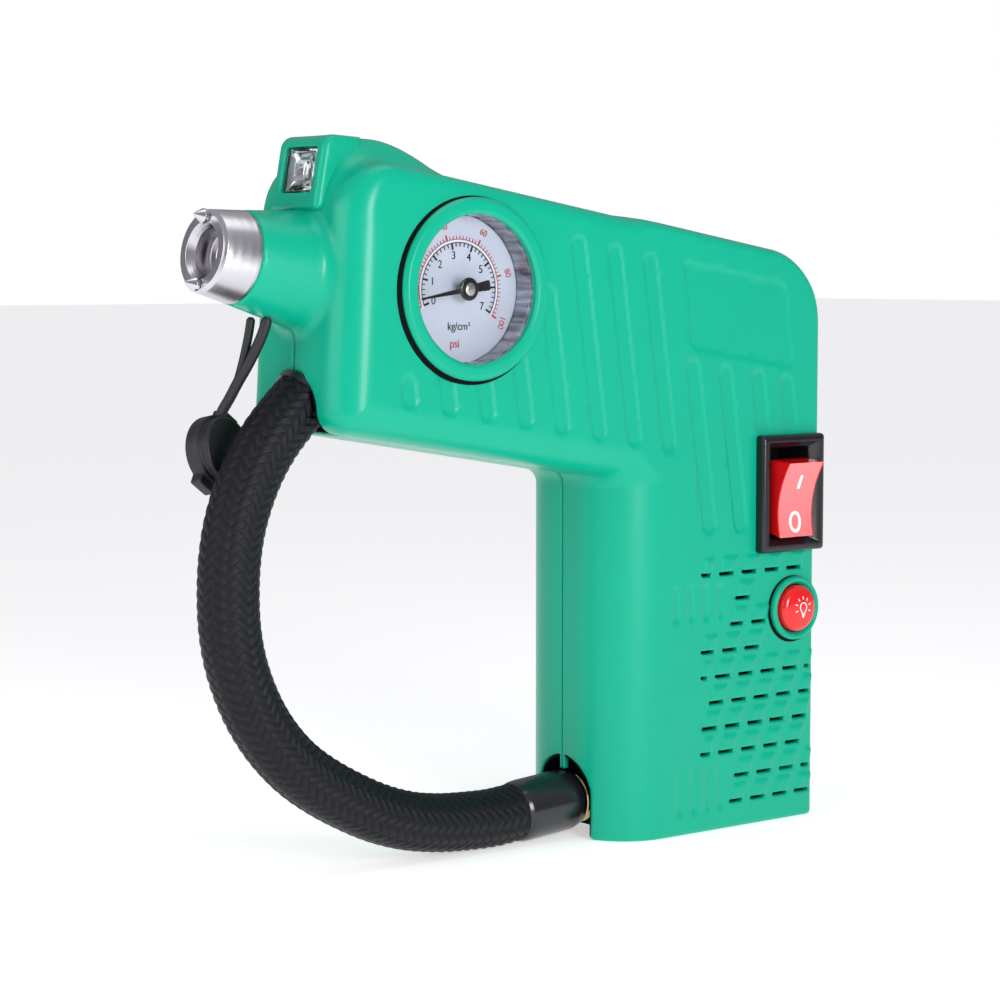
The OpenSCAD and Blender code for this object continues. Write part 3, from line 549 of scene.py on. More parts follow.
def braid_material():
    """Black textile yarns with fine threads along each strand, their colour painted lighter on the crowns
    and darker in the valleys: painted highlight and painted shade.
    """
    m = make_material("hose_braid", (0.009, 0.009, 0.014), 0.45, 0, 0.3, 900, 0.1,
                      Sheen_Weight=0.0, Sheen_Roughness=0.3, Specular_IOR_Level=0.28)
    nodes, links = m.node_tree.nodes, m.node_tree.links
    shader = nodes["Principled BSDF"]
    shader.inputs["Sheen Tint"].default_value = (0.55, 0.55, 0.75, 1)
    yarn = nodes.new("ShaderNodeAttribute")
    yarn.attribute_name = "thread"
    wave = nodes.new("ShaderNodeMath")
    wave.operation = "SINE"
    crown = nodes.new("ShaderNodeAttribute")
    crown.attribute_name = "crown"
    # Colour from the crown attribute: lighter on the yarns' crowns as painted highlight, darker in the
    # valleys as painted shade.
    mix = nodes.new("ShaderNodeMix")
    mix.data_type = "RGBA"
    mix.inputs["A"].default_value = (0.0015, 0.0015, 0.002, 1)
    mix.inputs["B"].default_value = (0.005, 0.005, 0.010, 1)
    relief = nodes.new("ShaderNodeBump")
    relief.inputs["Strength"].default_value = 0.35
    relief.inputs["Distance"].default_value = 0.0001
    old = next(n for n in nodes if n.type == "BUMP")
    links.new(yarn.outputs["Fac"], wave.inputs[0])
    links.new(wave.outputs["Value"], relief.inputs["Height"])
    links.new(old.outputs["Normal"], relief.inputs["Normal"])
    links.new(relief.outputs["Normal"], shader.inputs["Normal"])
    links.new(crown.outputs["Fac"], mix.inputs["Factor"])
    links.new(mix.outputs["Result"], shader.inputs["Base Color"])
    return m


def make_materials():
    green = (0.0, 0.408, 0.255)
    mats = {
        "green": make_material("green_plastic", green, 0.3, 0, 0.02, 260, 0.04,
                               Specular_IOR_Level=0.3),
        # The case wall's colour runs in streaks from near black to bright along the gauge's axis: painted
        # reflections on the polished metal.
        "case": make_material("case_wall_painted_reflections", (0.30, 0.30, 0.33), 0.16, 1, 0.85, 4200, 0.25,
                              (1, 0.12, 1)),
        "rubber": make_material("black_rubber", (0.012, 0.012, 0.015), 0.5, 0, 0.15, 500, 0.12),
        "black": make_material("black_plastic", (0.008, 0.008, 0.011), 0.22, 0, 0.1, 400, 0.05),
        # Near black: painted shade in the hose pockets, and painted shadow round the gauge's bezel and the
        # button's collar.
        "painted_shade": make_material("painted_shade_black", (0.002, 0.002, 0.002), 0.8, 0, 0.2, 300, 0.1,
                               Specular_IOR_Level=0.1),
        "sleeve": make_material("crimped_sleeve", (0.010, 0.010, 0.014), 0.25, 0, 0.12, 600, 0.05,
                                Coat_Weight=0.3, Coat_Roughness=0.12),
        "red": make_material("red_plastic", (0.80, 0.006, 0.008), 0.2, 0, 0.05, 400, 0.03,
                             Coat_Weight=0.4, Coat_Roughness=0.08),
        "salmon": make_material("red_lens_face", (0.95, 0.20, 0.21), 0.3, 0, 0.04, 400, 0.03),
        "white": make_material("white_print", (0.9, 0.9, 0.9), 0.5, 0, 0.02, 500, 0.03),
        "black_print": make_material("black_print", (0.012, 0.012, 0.015), 0.55, 0, 0.1, 500, 0.03),
        "red_print": make_material("red_print", (0.50, 0.03, 0.05), 0.55, 0, 0.08, 500, 0.03),
        "dial": make_material("dial_plate", (0.58, 0.62, 0.74), 0.42, 0, 0.03, 200, 0.03),
        "needle": make_material("needle_paint", (0.006, 0.006, 0.006), 0.3, 0, 0.1, 600, 0.04),
        "steel": make_material("plain_steel", (0.50, 0.49, 0.50), 0.26, 1, 0.1, 600, 0.08),
        "turned": turned_metal("turned_steel", (0.62, 0.60, 0.64), 0.24, 900),
        "chrome": make_material("chrome", (0.75, 0.75, 0.78), 0.09, 1, 0.08, 500, 0.05),
        "brass": make_material("brass", (0.72, 0.50, 0.24), 0.18, 1, 0.1, 700, 0.06),
        "aluminium": make_material("cast_aluminium", (0.62, 0.63, 0.65), 0.42, 1, 0.1, 300, 0.2),
        "board": make_material("circuit_board", (0.02, 0.18, 0.07), 0.4, 0, 0.2, 500, 0.1),
        "led": make_material("lamp_chip", (0.85, 0.8, 0.4), 0.35, 0, 0.1, 700, 0.05),
        "copper": make_material("copper_windings", (0.65, 0.33, 0.15), 0.35, 1, 0.2, 900, 0.3),
        "nylon": make_material("nylon", (0.75, 0.74, 0.68), 0.45, 0, 0.04, 400, 0.08),
        "tungsten": make_material("hard_metal", (0.62, 0.62, 0.65), 0.14, 1, 0.08, 700, 0.05),
        "glass": make_material("clear_glass", (0.98, 0.99, 1.0), 0.02, 0, 0.01, 300, 0.01,
                               Transmission_Weight=1.0, IOR=1.06, Specular_IOR_Level=0.35),
        "lens": make_material("clear_lens", (0.95, 0.98, 1.0), 0.04, 0, 0.02, 500, 0.05,
                              Transmission_Weight=1.0, IOR=1.45),
        "braid": braid_material(),
    }
    return mats


NODE_FINISH = {
    "housing_screws": "steel", "lamp_board": "board", "lamp_led": "led", "gauge_pivot": "steel",
    # hose_collar takes the glossy black sleeve finish rather than chrome: painted shade, so the outlet
    # pocket reads dark.
    "gauge_stem": "brass", "hose_collar": "sleeve", "chuck_body": "brass", "stow_socket": "rubber",
    "switch_body": "black", "rocker_pin": "steel", "switch_terminals": "brass",
    "light_switch": "black", "motor_can": "steel", "motor_end_cap": "black",
    "motor_armature": "copper", "motor_shaft": "steel", "motor_pinion": "brass",
    "cooling_fan": "black", "gearbox_frame": "aluminium", "crank_gear": "nylon",
    "gear_shaft": "steel", "piston_rod": "aluminium", "piston_cup": "rubber",
    "pump_cylinder": "aluminium", "cylinder_head": "aluminium", "air_manifold": "brass",
    "outlet_elbow": "brass", "power_inlet": "black",
}


def finish_nodes(mats):
    """Gives each carried-over node its own procedural finish."""
    for node, finish in NODE_FINISH.items():
        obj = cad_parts[node]
        obj.data.materials.clear()
        obj.data.materials.append(mats[finish])


# ---- hose --------------------------------------------------------------------------------------
def smooth_route(points, count):
    """Evenly spaced points of a Catmull-Rom curve through the route, with their tangents."""
    p = np.array(points, float)
    ends = np.vstack([2 * p[0] - p[1], p, 2 * p[-1] - p[-2]])
    fine = []
    for i in range(1, len(ends) - 2):
        a, b, c, d = ends[i - 1 : i + 3]
        for t in np.linspace(0, 1, 40, endpoint=False):
            fine.append(0.5 * (2 * b + (c - a) * t + (2 * a - 5 * b + 4 * c - d) * t**2
                               + (3 * b - a - 3 * c + d) * t**3))
    fine = np.array(fine + [p[-1]])
    run = np.concatenate([[0], np.cumsum(np.linalg.norm(np.diff(fine, axis=0), axis=1))])
    at = np.linspace(0, run[-1], count)
    even = np.stack([np.interp(at, run, fine[:, k]) for k in range(3)], axis=1)
    tangents = np.gradient(even, axis=0)
    return even, tangents / np.linalg.norm(tangents, axis=1)[:, None], run[-1]


def make_hose(mats):
    """The braided hose: two families of twelve flat strands that pass over and under in twos."""
    rings, around, strands = ((760, 128, 16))
    centre, tangent, length = smooth_route(HOSE, rings)
    pitch = 2.6
    u = np.linspace(0, length, rings)[:, None]
    v = np.arange(around)[None, :] / around
    a = strands * v + u / pitch
    b = strands * v - u / pitch
    ia, ib = np.floor(a), np.floor(b)
    fa, fb = a - ia, b - ib
    a_over = ((ia + ib) % 4) < 2
    across = np.where(a_over, fa, fb)
    along_cell = np.where(a_over, fb, fa)
    twill = np.where(a_over, (ia + ib) % 4 < 1, (ia + ib) % 4 < 3)
    float_run = np.where(twill, along_cell * 0.5, 0.5 + along_cell * 0.5)
    crown = np.sqrt(np.clip(1 - (2 * across - 1) ** 2, 0, 1)) * (0.55 + 0.45 * np.sin(np.pi * float_run))
    radius = HOSE_R - 0.32 + 0.42 * crown
    across_y = np.array((0.0, 1.0, 0.0))
    normal = np.cross(tangent, across_y)
    angle = TAU * v
    ring = (np.cos(angle)[..., None] * normal[:, None, :] + np.sin(angle)[..., None] * across_y)
    points = (centre[:, None, :] + radius[..., None] * ring).reshape(-1, 3)
    i, j = np.meshgrid(np.arange(rings - 1), np.arange(around), indexing="ij")
    k = (j + 1) % around
    faces = np.stack([i * around + j, i * around + k, (i + 1) * around + k, (i + 1) * around + j],
                     axis=-1).reshape(-1, 4).tolist()
    faces.append(list(range(around)))
    faces.append(list(range((rings - 1) * around, rings * around)))
    faces[-1].reverse()
    hose = new_object("braided_hose", points, fix_winding_fast(points, faces), mats["braid"])
    # thread drives the yarns' fine bump; crown drives their colour, lighter on the crowns and darker in the
    # valleys, which is painted highlight and painted shade.
    for name, values in (("thread", across * 5 * TAU), ("crown", crown**1.6)):
        attribute = hose.data.attributes.new(name, "FLOAT", "POINT")
        attribute.data.foreach_set("value", values.astype(np.float32).ravel())
    place(hose, "housing", "hose_braid", "air_hose")
    return hose, length


def fix_winding_fast(points, faces):
    """As fix_winding, from the quads alone."""
    q = np.array([f for f in faces if len(f) == 4])
    p = np.asarray(points)
    volume = (p[q[:, 0]] * np.cross(p[q[:, 1]], p[q[:, 2]])).sum()
    return [list(reversed(f)) for f in faces] if volume < 0 else faces


def make_ferrule(mats):
    """The crimped black sleeve and its bright nut at the hose's free end."""
    end = Vector(HOSE[-1])
    way = Vector((22.2, 0, 1.8)).normalized()
    sleeve = lathe_axis("crimped_sleeve", end, way, [
        (6.2, 0.05, 0), (7.35, 0.05, 0.3), (7.75, 1.2, 0.6), (7.9, 3.0, 3), (7.9, 16.2, 2.5),
        (7.1, 19.2, 0.7), (5.0, 19.2, 0), (5.0, 12, 0), (1.0, 12, 0), (1.0, 2, 0), (6.2, 2, 0),
    ], mats["sleeve"], 128)
    place(sleeve, "housing", "black_plastic", "hose_ferrule")
    nut = lathe_axis("bright_nut", end, way, [
        (4.6, 19.45, 0), (6.3, 19.45, 0.3), (6.7, 19.9, 0.3), (6.7, 21.6, 0.3), (6.2, 22.1, 0.2),
        (4.6, 22.1, 0),
    ], mats["brass"], 128)
    place(nut, "housing", "brass", "chuck_nut")
    return sleeve, nut


def make_pocket_linings(mats):
    """Thin black sheets inside the two pockets that the hose leaves and enters by: painted shade where the
    pockets' walls fall dark.
    """
    step = 0.35
    f = Field((-121, -11, 94), (-107, 11, 123), step)
    hollow = arch_field(f, 120.3, 9.3, -140, -111.2, 60)
    body = arch_field(f, 120.9, 9.9, -140, -110.1, 60)
    d = np.maximum(np.maximum(body, -hollow), body_field(f) + 0.5)
    shade_sheet = f.mesh("outlet_painted_shade", d, mats["painted_shade"])
    place(shade_sheet, "housing", "black_rubber")
    f = Field((-37, -11, -0.5), (-21, 11, 22), step)
    hollow = arch_field(f, 20.3, 9.3, -60, -23.4, -20)
    body = arch_field(f, 20.9, 9.9, -60, -22.3, -20)
    d = np.maximum(np.maximum(np.maximum(body, -hollow), body_field(f) + 0.5), 0.05 - f.z)
    bore = np.hypot(f.y, f.z - 10.2) - 6.3
    d = np.maximum(d, -np.maximum(bore, -30 - f.x))
    shade_sheet = f.mesh("stow_painted_shade", d, mats["painted_shade"])
    place(shade_sheet, "housing", "black_rubber")


# ---- nose --------------------------------------------------------------------------------------
def nose_object(name, profile, material, steps=160, angle=30):
    """A turned piece whose own Z axis is the nose's axis, pointing out of the nose."""
    def point(r, h, a):
        return (r * math.cos(a), r * math.sin(a), h)

    points, faces = spin(rounded_profile(profile), steps, point)
    obj = sharpen(new_object(name, points, fix_winding(points, faces), material), angle)
    obj.matrix_world = (Matrix.Translation(Vector(NOSE_AT) * MM) @ Matrix.Rotation(TILT, 4, "Y")
                        @ Matrix.Rotation(-math.pi / 2, 4, "Y"))
    return obj


def make_nose(mats):
    head = nose_object("turned_nose", [
        (8.0, -8, 0), (8.0, 17, 0), (10.9, 17, 0.2), (10.95, 17.9, 0.2), (9.75, 25.9, 0.4),
        (8.9, 26.6, 0.4), (6.7, 26.6, 0.25), (5.7, 24.6, 0.2), (5.5, 22.5, 0.2), (5.5, 20.5, 0.3),
        (3.0, 20.5, 0.3), (3.0, -8, 0),
    ], mats["turned"])
    place(head, "housing", "steel", "hammer_head")
    for k, s in enumerate((-1, 1)):
        tip = nose_object(f"nose_tip_{k}", [
            (0.0, 24.4, 0), (1.0, 24.4, 0), (1.0, 26.7, 0), (1.7, 26.75, 0.12), (1.75, 27.7, 0.1),
            (0.25, 30.0, 0.1), (0.0, 30.1, 0),
        ], mats["tungsten"], 40)
        tip.matrix_world = tip.matrix_world @ Matrix.Translation((s * 7.9 * MM, 0, 0))
        place(tip, "housing", "tungsten", "hammer_tips")


# ---- cap on its tether -------------------------------------------------------------------------
def tube(name, points, radius, material, sides=20, count=90):
    """A round strap along a smooth line, with rounded ends."""
    centre, tangent, _ = smooth_route(points, count)
    r = np.full(count, radius)
    for k in range(6):
        shrink = math.sqrt(1 - (1 - (k + 0.5) / 6) ** 2)
        r[k] = r[-1 - k] = radius * shrink
    verts = []
    up = np.array((0.3, 1.0, 0.1))
    for p, t, q in zip(centre, tangent, r):
        u = np.cross(t, up)
        u /= np.linalg.norm(u)
        w = np.cross(t, u)
        for s in range(sides):
            a = TAU * s / sides
            verts.append(p + q * (math.cos(a) * u + math.sin(a) * w))
    faces = [list(range(sides)), list(range((count - 1) * sides, count * sides))[::-1]]
    for i in range(count - 1):
        for s in range(sides):
            m = (s + 1) % sides
            faces.append([i * sides + s, i * sides + m, (i + 1) * sides + m, (i + 1) * sides + s])
    return new_object(name, verts, fix_winding_fast(np.array(verts), faces), material)


CAP_AT = (-130.8, 13.4, 102.6)
TETHER = [
    (-127.2, -2.2, 134.6), (-127.9, -0.6, 130), (-129.2, 2.6, 124), (-130.6, 5.6, 119),
    (-131.4, 7.8, 115.4), (-132, 9.8, 112.6), (-132.3, 10.8, 110.9),
]
TETHER_SHORT = [(-128.4, 3, 134.4), (-128.9, 3.5, 130), (-129.8, 4.5, 124), (-130.7, 5.9, 118.4)]


def make_cap(mats):
    turn = (Matrix.Rotation(math.radians(24), 4, "Z") @ Matrix.Rotation(math.radians(-32), 4, "Y")
            @ Matrix.Rotation(math.radians(-14), 4, "X") @ Matrix.Rotation(math.radians(90), 4, "X"))
    step = 0.2
    f = Field((-12, -12, -4.5), (12, 12, 4.5), step)
    r = np.hypot(f.x, f.y)
    rim = both(r - 8.7, np.abs(f.z + 1.2) - 2.0, 0.5)
    plug = both(r - 7.7, np.abs(f.z) - 3.2, 0.6)
    d = either(rim, plug, 0.4)
    for a in (200, 20):
        c, s = math.cos(math.radians(a)), math.sin(math.radians(a))
        u, v = f.x * c + f.y * s, -f.x * s + f.y * c
        lug = both(plate(u - 8.6, v, 2.0, 3.0, 0.6), np.abs(f.z + 1.6) - 1.6, 0.4)
        d = np.minimum(d, lug)
    d = both(d, -both(r - 5.2, f.z - 1.2, 0.3), 0.3)
    cap = f.mesh("rubber_cap", d, mats["rubber"], 0.05)
    cap.matrix_world = Matrix.Translation(Vector(CAP_AT) * MM) @ turn
    place(cap, "housing", "black_rubber", "nose_cap")
    long_strand = tube("tether_long", TETHER, 1.3, mats["rubber"])
    short_strand = tube("tether_short", TETHER_SHORT, 1.05, mats["rubber"])
    for strand in (long_strand, short_strand):
        place(strand, "housing", "black_rubber", "cap_tether")


# ---- lamp --------------------------------------------------------------------------------------
LENS_AT = (-116.3, 168.8)
LAMP_LEAN = math.radians(10)


def lamp_axes(f):
    """Depth behind the lens plane and height across it."""
    dx, dz = f.x - LENS_AT[0], f.z - LENS_AT[1]
    c, s = math.cos(LAMP_LEAN), math.sin(LAMP_LEAN)
    return dx * c - dz * s, dx * s + dz * c


def make_lamp(mats):
    step = 0.25
    f = Field((-121, -10.5, 156), (-97, 10.5, 180), step)
    depth, up = lamp_axes(f)
    front = line(f.x, f.z, (-115.4, 177.2), (-118.6, 160.2))
    top = line(f.x, f.z, (-100, 176.2), (-115.4, 177.1))
    under = line(f.x, f.z, (-118.6, 159.4), (-104, 158.4))
    back = f.x + 105
    frame_side = both(both(both(-front, -top, 3.0), -under, 1.2), back, 0.5)
    d = both(np.abs(f.y) - 9.6, frame_side, 1.6)
    d = both(d, -np.maximum(plate(f.y, up, 6.6, 5.5, 1.3), depth - 8.5), 0.35)
    bezel = f.mesh("lamp_frame", d, mats["green"], 0.05)
    place(bezel, "housing", "green_shell", "lamp_housing")
    make_reflector(mats)


def lamp_point(depth, y, up):
    c, s = math.cos(LAMP_LEAN), math.sin(LAMP_LEAN)
    return (LENS_AT[0] + depth * c + up * s, y, LENS_AT[1] - depth * s + up * c)


def loft(name, sections, material, point, cap_ends=True):
    """A closed skin through sections of equal point count, each a list of (y, up) with a depth."""
    points, faces = [], []
    n = len(sections[0][1])
    for depth, outline in sections:
        points += [point(depth, y, up) for y, up in outline]
    for i in range(len(sections) - 1):
        for k in range(n):
            m = (k + 1) % n
            faces.append([i * n + k, i * n + m, (i + 1) * n + m, (i + 1) * n + k])
    if cap_ends:
        faces.append(list(range(n)))
        faces.append(list(range((len(sections) - 1) * n, len(sections) * n))[::-1])
    return new_object(name, points, fix_winding(points, faces), material)


def rounded_rect(half_y, half_z, r, steps=5):
    out = []
    for sy, sz, start in ((1, 1, 0), (-1, 1, 90), (-1, -1, 180), (1, -1, 270)):
        for k in range(steps + 1):
            a = math.radians(start + 90 * k / steps)
            out.append((sy * (half_y - r) + r * math.cos(a), sz * (half_z - r) + r * math.sin(a)))
    return out


def make_reflector(mats):
    """The chromed dish behind the lens, its facets, and the moulded lens with its bull's eye."""
    square = rounded_rect(6.5, 5.4, 1.0)
    back = rounded_rect(5.3, 4.9, 1.0)

    def facets(r, twist, wave):
        return [(r * (1 + wave * (-1) ** k) * math.cos(math.atan2(up, y) + twist),
                 r * (1 + wave * (-1) ** k) * math.sin(math.atan2(up, y) + twist))
                for k, (y, up) in enumerate(square)]

    dish = loft("lamp_reflector_dish", [
        (8.3, back), (1.9, square), (1.7, [(0.93 * y, 0.93 * u) for y, u in square]),
        (2.6, facets(4.4, 0, 0.05)), (4.0, facets(3.5, 0, -0.06)), (5.5, facets(2.6, 0, 0.07)),
        (6.8, facets(1.7, 0, 0)),
    ], mats["chrome"], lamp_point)
    sharpen(dish, 20)
    place(dish, "housing", "chrome", "lamp_reflector")
    lens_edge = rounded_rect(6.5, 5.4, 1.2)

    def scaled(k):
        return [(k * y, k * u) for y, u in lens_edge]

    def disc(r):
        return [(r * math.cos(math.atan2(u, y)), r * math.sin(math.atan2(u, y))) for y, u in lens_edge]

    lens = loft("lamp_lens_moulding", [
        (1.5, scaled(0.02)), (1.5, disc(3.0)), (1.3, scaled(0.99)), (0.5, scaled(1.0)),
        (0.15, scaled(0.96)), (0.1, scaled(0.82)), (0.45, disc(3.4)), (0.2, disc(3.1)),
        (-0.15, disc(2.2)), (-0.3, disc(1.1)), (-0.33, disc(0.05)),
    ], mats["lens"], lamp_point)
    place(lens, "housing", "clear_lens", "lamp_lens")


# ---- gauge -------------------------------------------------------------------------------------
def dial_point(angle, radius):
    """A point of the dial: the angle runs clockwise from straight up, as seen from the front."""
    a = math.radians(angle)
    return (GAUGE[0] + radius * math.sin(a), GAUGE[1] + radius * math.cos(a))


def scale_angle(value):
    return -110 + 33 * value


def flat_print(name, shapes, material, y, lift=0.05):
    """Printed marks: thin closed slabs of the given outlines, standing just off the dial."""
    points, faces = [], []
    for outline in shapes:
        n, base = len(outline), len(points)
        points += [(x, y, z) for x, z in outline] + [(x, y - lift, z) for x, z in outline]
        front = list(range(base + n, base + 2 * n))
        area = sum(outline[k][0] * outline[(k + 1) % n][1] - outline[(k + 1) % n][0] * outline[k][1]
                   for k in range(n))
        side = [[base + k, base + (k + 1) % n, base + n + (k + 1) % n, base + n + k] for k in range(n)]
        block = [front, [base + k for k in range(n)][::-1]] + side
        faces += block if area > 0 else [f[::-1] for f in block]
    return new_object(name, points, faces, material, smooth=False)


def bar(angle, r0, r1, width):
    a = math.radians(angle)
    out, side = np.array((math.sin(a), math.cos(a))), np.array((math.cos(a), -math.sin(a)))
    c = np.array(GAUGE)
    return [tuple(c + out * r + side * s * width / 2) for r, s in ((r0, 1), (r1, 1), (r1, -1), (r0, -1))]


def arc_strips(start, end, r0, r1, steps):
    """The arc as short four-sided strips."""
    shapes = []
    for k in range(steps):
        a, b = (start + (end - start) * t / steps for t in (k, k + 1))
        shapes.append([dial_point(a, r0), dial_point(a, r1), dial_point(b, r1), dial_point(b, r0)])
    return shapes


def lettering(name, text, size, centre, material, y, turn=0.0):
    """A word or number printed flat on the dial."""
    curve = bpy.data.curves.new(name, "FONT")
    curve.body = text
    curve.size = size * MM
    curve.extrude = 0.03 * MM
    curve.align_x = "CENTER"
    curve.align_y = "CENTER"
    curve.space_character = 0.95
    holder = bpy.data.objects.new(name + "_type", curve)
    bpy.context.scene.collection.objects.link(holder)
    bpy.context.view_layer.update()
    mesh = bpy.data.meshes.new_from_object(holder)
    bpy.data.objects.remove(holder)
    mesh.materials.clear()
    mesh.materials.append(material)
    obj = bpy.data.objects.new(name, mesh)
    bpy.context.scene.collection.objects.link(obj)
    mesh.transform(Matrix.Translation((centre[0] * MM, y * MM, centre[1] * MM))
                   @ Matrix.Rotation(math.radians(turn), 4, "Y") @ Matrix.Rotation(math.pi / 2, 4, "X"))
    return obj


def make_dial(mats):
    plate_top = DIAL_Y - 0.02
    dial = lathe_y("dial_face", GAUGE, [
        (0.9, -6.35, 0), (17.55, -6.35, 0.1), (17.7, -6.5, 0.1), (17.7, -7.0, 0), (0.9, -7.0, 0),
    ], mats["dial"], 128)
    place(dial, "housing", "dial_paint", "gauge_dial")
    black, red = [], []
    for k in range(36):
        v = k / 5
        if v <= 7.001:
            major = k % 5 == 0
            black.append(bar(scale_angle(v), 9.5 if major else 10.1, 11.1, 0.5 if major else 0.26))
    for k in range(52):
        psi = 2 * k
        if psi <= 100:
            major = k % 10 == 0
            red.append(bar(scale_angle(psi / 14.22), 11.9, 13.3 if major else 12.7, 0.42 if major else 0.2))
    black += arc_strips(scale_angle(0), scale_angle(7), 10.95, 11.15, 60)
    red += arc_strips(scale_angle(0), scale_angle(7.03), 11.8, 11.95, 60)
    white = arc_strips(scale_angle(-0.1), scale_angle(7.1), 11.3, 11.65, 60)
    parts = [flat_print("scale_black", black, mats["black_print"], plate_top),
             flat_print("scale_red", red, mats["red_print"], plate_top),
             flat_print("scale_white", white, mats["white"], plate_top)]
    for v in range(0, 8):
        x, z = dial_point(scale_angle(v), 8.1)
        parts.append(lettering(f"bar_{v}", str(v), 2.7, (x, z), mats["black_print"], plate_top - 0.03))
    for psi in (0, 20, 40, 60, 80, 100):
        a = scale_angle(psi / 14.22)
        x, z = dial_point(a, 15.3)
        parts.append(lettering(f"psi_{psi}", str(psi), 2.3, (x, z), mats["red_print"],
                               plate_top - 0.03, a * 0.9))
    parts.append(lettering("unit_metric", "kg/cm²", 2.7, (GAUGE[0], GAUGE[1] - 8.9),
                           mats["black_print"], plate_top - 0.03))
    parts.append(lettering("unit_psi", "psi", 2.9, (GAUGE[0] - 1.3, GAUGE[1] - 13.0),
                           mats["red_print"], plate_top - 0.03))
    for p in parts:
        place(p, "housing", "dial_paint")


def make_gauge(mats):
    ring = lathe_y("gauge_bezel", GAUGE, [
        (WINDOW_R, -0.1, 0), (WINDOW_R, 1.2, 0.2), (18.7, 1.8, 0.7), (21.0, 1.75, 0.9),
        (RING_R, 0.7, 0.5), (RING_R, -0.1, 0),
    ], mats["green"], 192, 60)
    place(ring, "housing", "green_shell", "gauge_ring")
    # A black ring set off centre under the bezel's edge: painted shadow, the crescent of shade in the gap
    # between the bezel and the side.
    painted_shadow_ring = lathe_y("gauge_painted_shadow", (GAUGE[0] - 0.75, GAUGE[1] - 0.3), [
        (21.0, -0.4, 0), (22.4, -0.4, 0), (22.5, 0.2, 0.2), (21.0, 0.3, 0),
    ], mats["painted_shade"], 160)
    place(painted_shadow_ring, "housing", "black_rubber")
    make_case(mats)
    make_dial(mats)
    make_needle(mats)
    glass = lathe_y("gauge_window", GAUGE, [
        (0.01, -0.25, 0), (16.0, -0.3, 0), (17.4, -0.6, 0.1), (17.4, -0.9, 0.1), (0.01, -0.6, 0),
    ], mats["glass"], 96)
    place(glass, "housing", "clear_lens", "gauge_glass")


def make_case(mats):
    """The polished case, its wall gently rippled as pressed metal is."""
    profile = rounded_profile([
        (WINDOW_R, 0, 0.1), (CASE_R, 0, 0), (CASE_R, -9.8, 0.5), (5, -9.8, 0), (5, -8.8, 0),
        (15, -8.8, 0), (15, -7, 0), (WINDOW_R, -7, 0),
    ])
    dense = []
    for p, q in zip(profile, profile[1:] + profile[:1]):
        cuts = max(1, int(abs(p[1] - q[1]) / 0.5)) if abs(p[0] - WINDOW_R) < 0.3 else 1
        dense += [tuple(np.array(p) + (np.array(q) - p) * k / cuts) for k in range(cuts)]

    def point(r, h, a):
        if r < WINDOW_R + 0.3 and -6.9 < h < -0.4:
            r -= 0.1 + 0.09 * math.sin(23 * a + 0.9 * h) + 0.05 * math.sin(61 * a - 1.7 * h)
        return (GAUGE[0] + r * math.cos(a), -HALF_W - h, GAUGE[1] + r * math.sin(a))

    points, faces = spin(dense, 240, point)
    case = sharpen(new_object("gauge_wall", points, fix_winding(points, faces), mats["case"]), 40)
    place(case, "housing", "chrome", "gauge_case")


def make_needle(mats):
    """The pointer with its round boss and square tail, and the pin's domed head."""
    a = math.radians(-99)
    out, side = np.array((math.sin(a), math.cos(a))), np.array((math.cos(a), -math.sin(a)))
    c = np.array(GAUGE)
    outline = []
    for length, half in ((14.2, 0.18), (2.4, 0.62), (-2.4, 1.0), (-6.0, 1.25), (-6.4, 1.0)):
        outline.append(tuple(c + out * length + side * half))
    for p in outline[::-1]:
        away = np.array(p) - c
        outline.append(tuple(2 * np.dot(away, out) * out - away + c))
    pointer = flat_print("pointer", [outline], mats["needle"], POINTER_Y, 0.4)
    boss = lathe_y("pointer_boss", GAUGE, [
        (1.05, -2.6, 0), (2.7, -2.6, 0.1), (2.8, -2.2, 0.15), (2.3, -1.95, 0.2), (1.05, -1.95, 0),
    ], mats["needle"], 64)
    whole = join("needle_pointer", [pointer, boss])
    place(whole, "needle", "needle_paint", "gauge_needle")
    head = lathe_y("pin_head", GAUGE, [
        (0.0, -1.3, 0), (1.1, -1.35, 0.3), (1.6, -1.6, 0.2), (1.6, -1.9, 0), (0.9, -1.9, 0),
        (0.9, -7.5, 0), (0.0, -7.5, 0),
    ], mats["steel"], 64)
    place(head, "housing", "steel", "gauge_pivot")


# ---- switch ------------------------------------------------------------------------------------
def ring_loft(name, centre, rings, material, angle=35):
    """A closed frame through rounded rectangles (half width, half height, radius, y)."""
    points, faces = [], []
    n = 24
    for a, b, r, y in rings:
        points += [(centre[0] + u, y, centre[1] + w) for u, w in rounded_rect(a, b, r)]
    m = len(rings)
    for i in range(m):
        for k in range(n):
            j, q = (i + 1) % m, (k + 1) % n
            faces.append([i * n + k, i * n + q, j * n + q, j * n + k])
    return sharpen(new_object(name, points, fix_winding(points, faces), material), angle)


def make_switch(mats):
    w, h = 11.3, 15.4
    bezel = ring_loft("switch_frame", SWITCH, [
        (w, h, 0.9, -21.1), (w, h, 0.9, -22.9), (w - 0.15, h - 0.15, 0.9, -23.5),
        (w - 0.6, h - 0.6, 0.8, -23.95), (w - 1.4, h - 1.4, 0.7, -24.1),
        (w - 1.9, h - 1.9, 0.6, -24.05), (w - 2.1, h - 2.1, 0.5, -23.85),
        (w - 3.6, h - 2.9, 0.4, -22.6), (w - 4.2, h - 3.2, 0.4, -22.4), (6.9, 12.1, 0.4, -22.2),
        (6.75, 11.95, 0.3, -22.0), (6.75, 11.95, 0.3, -21.1),
    ], mats["black"])
    place(bezel, "housing", "black_plastic", "switch_bezel")
    make_rocker(mats)


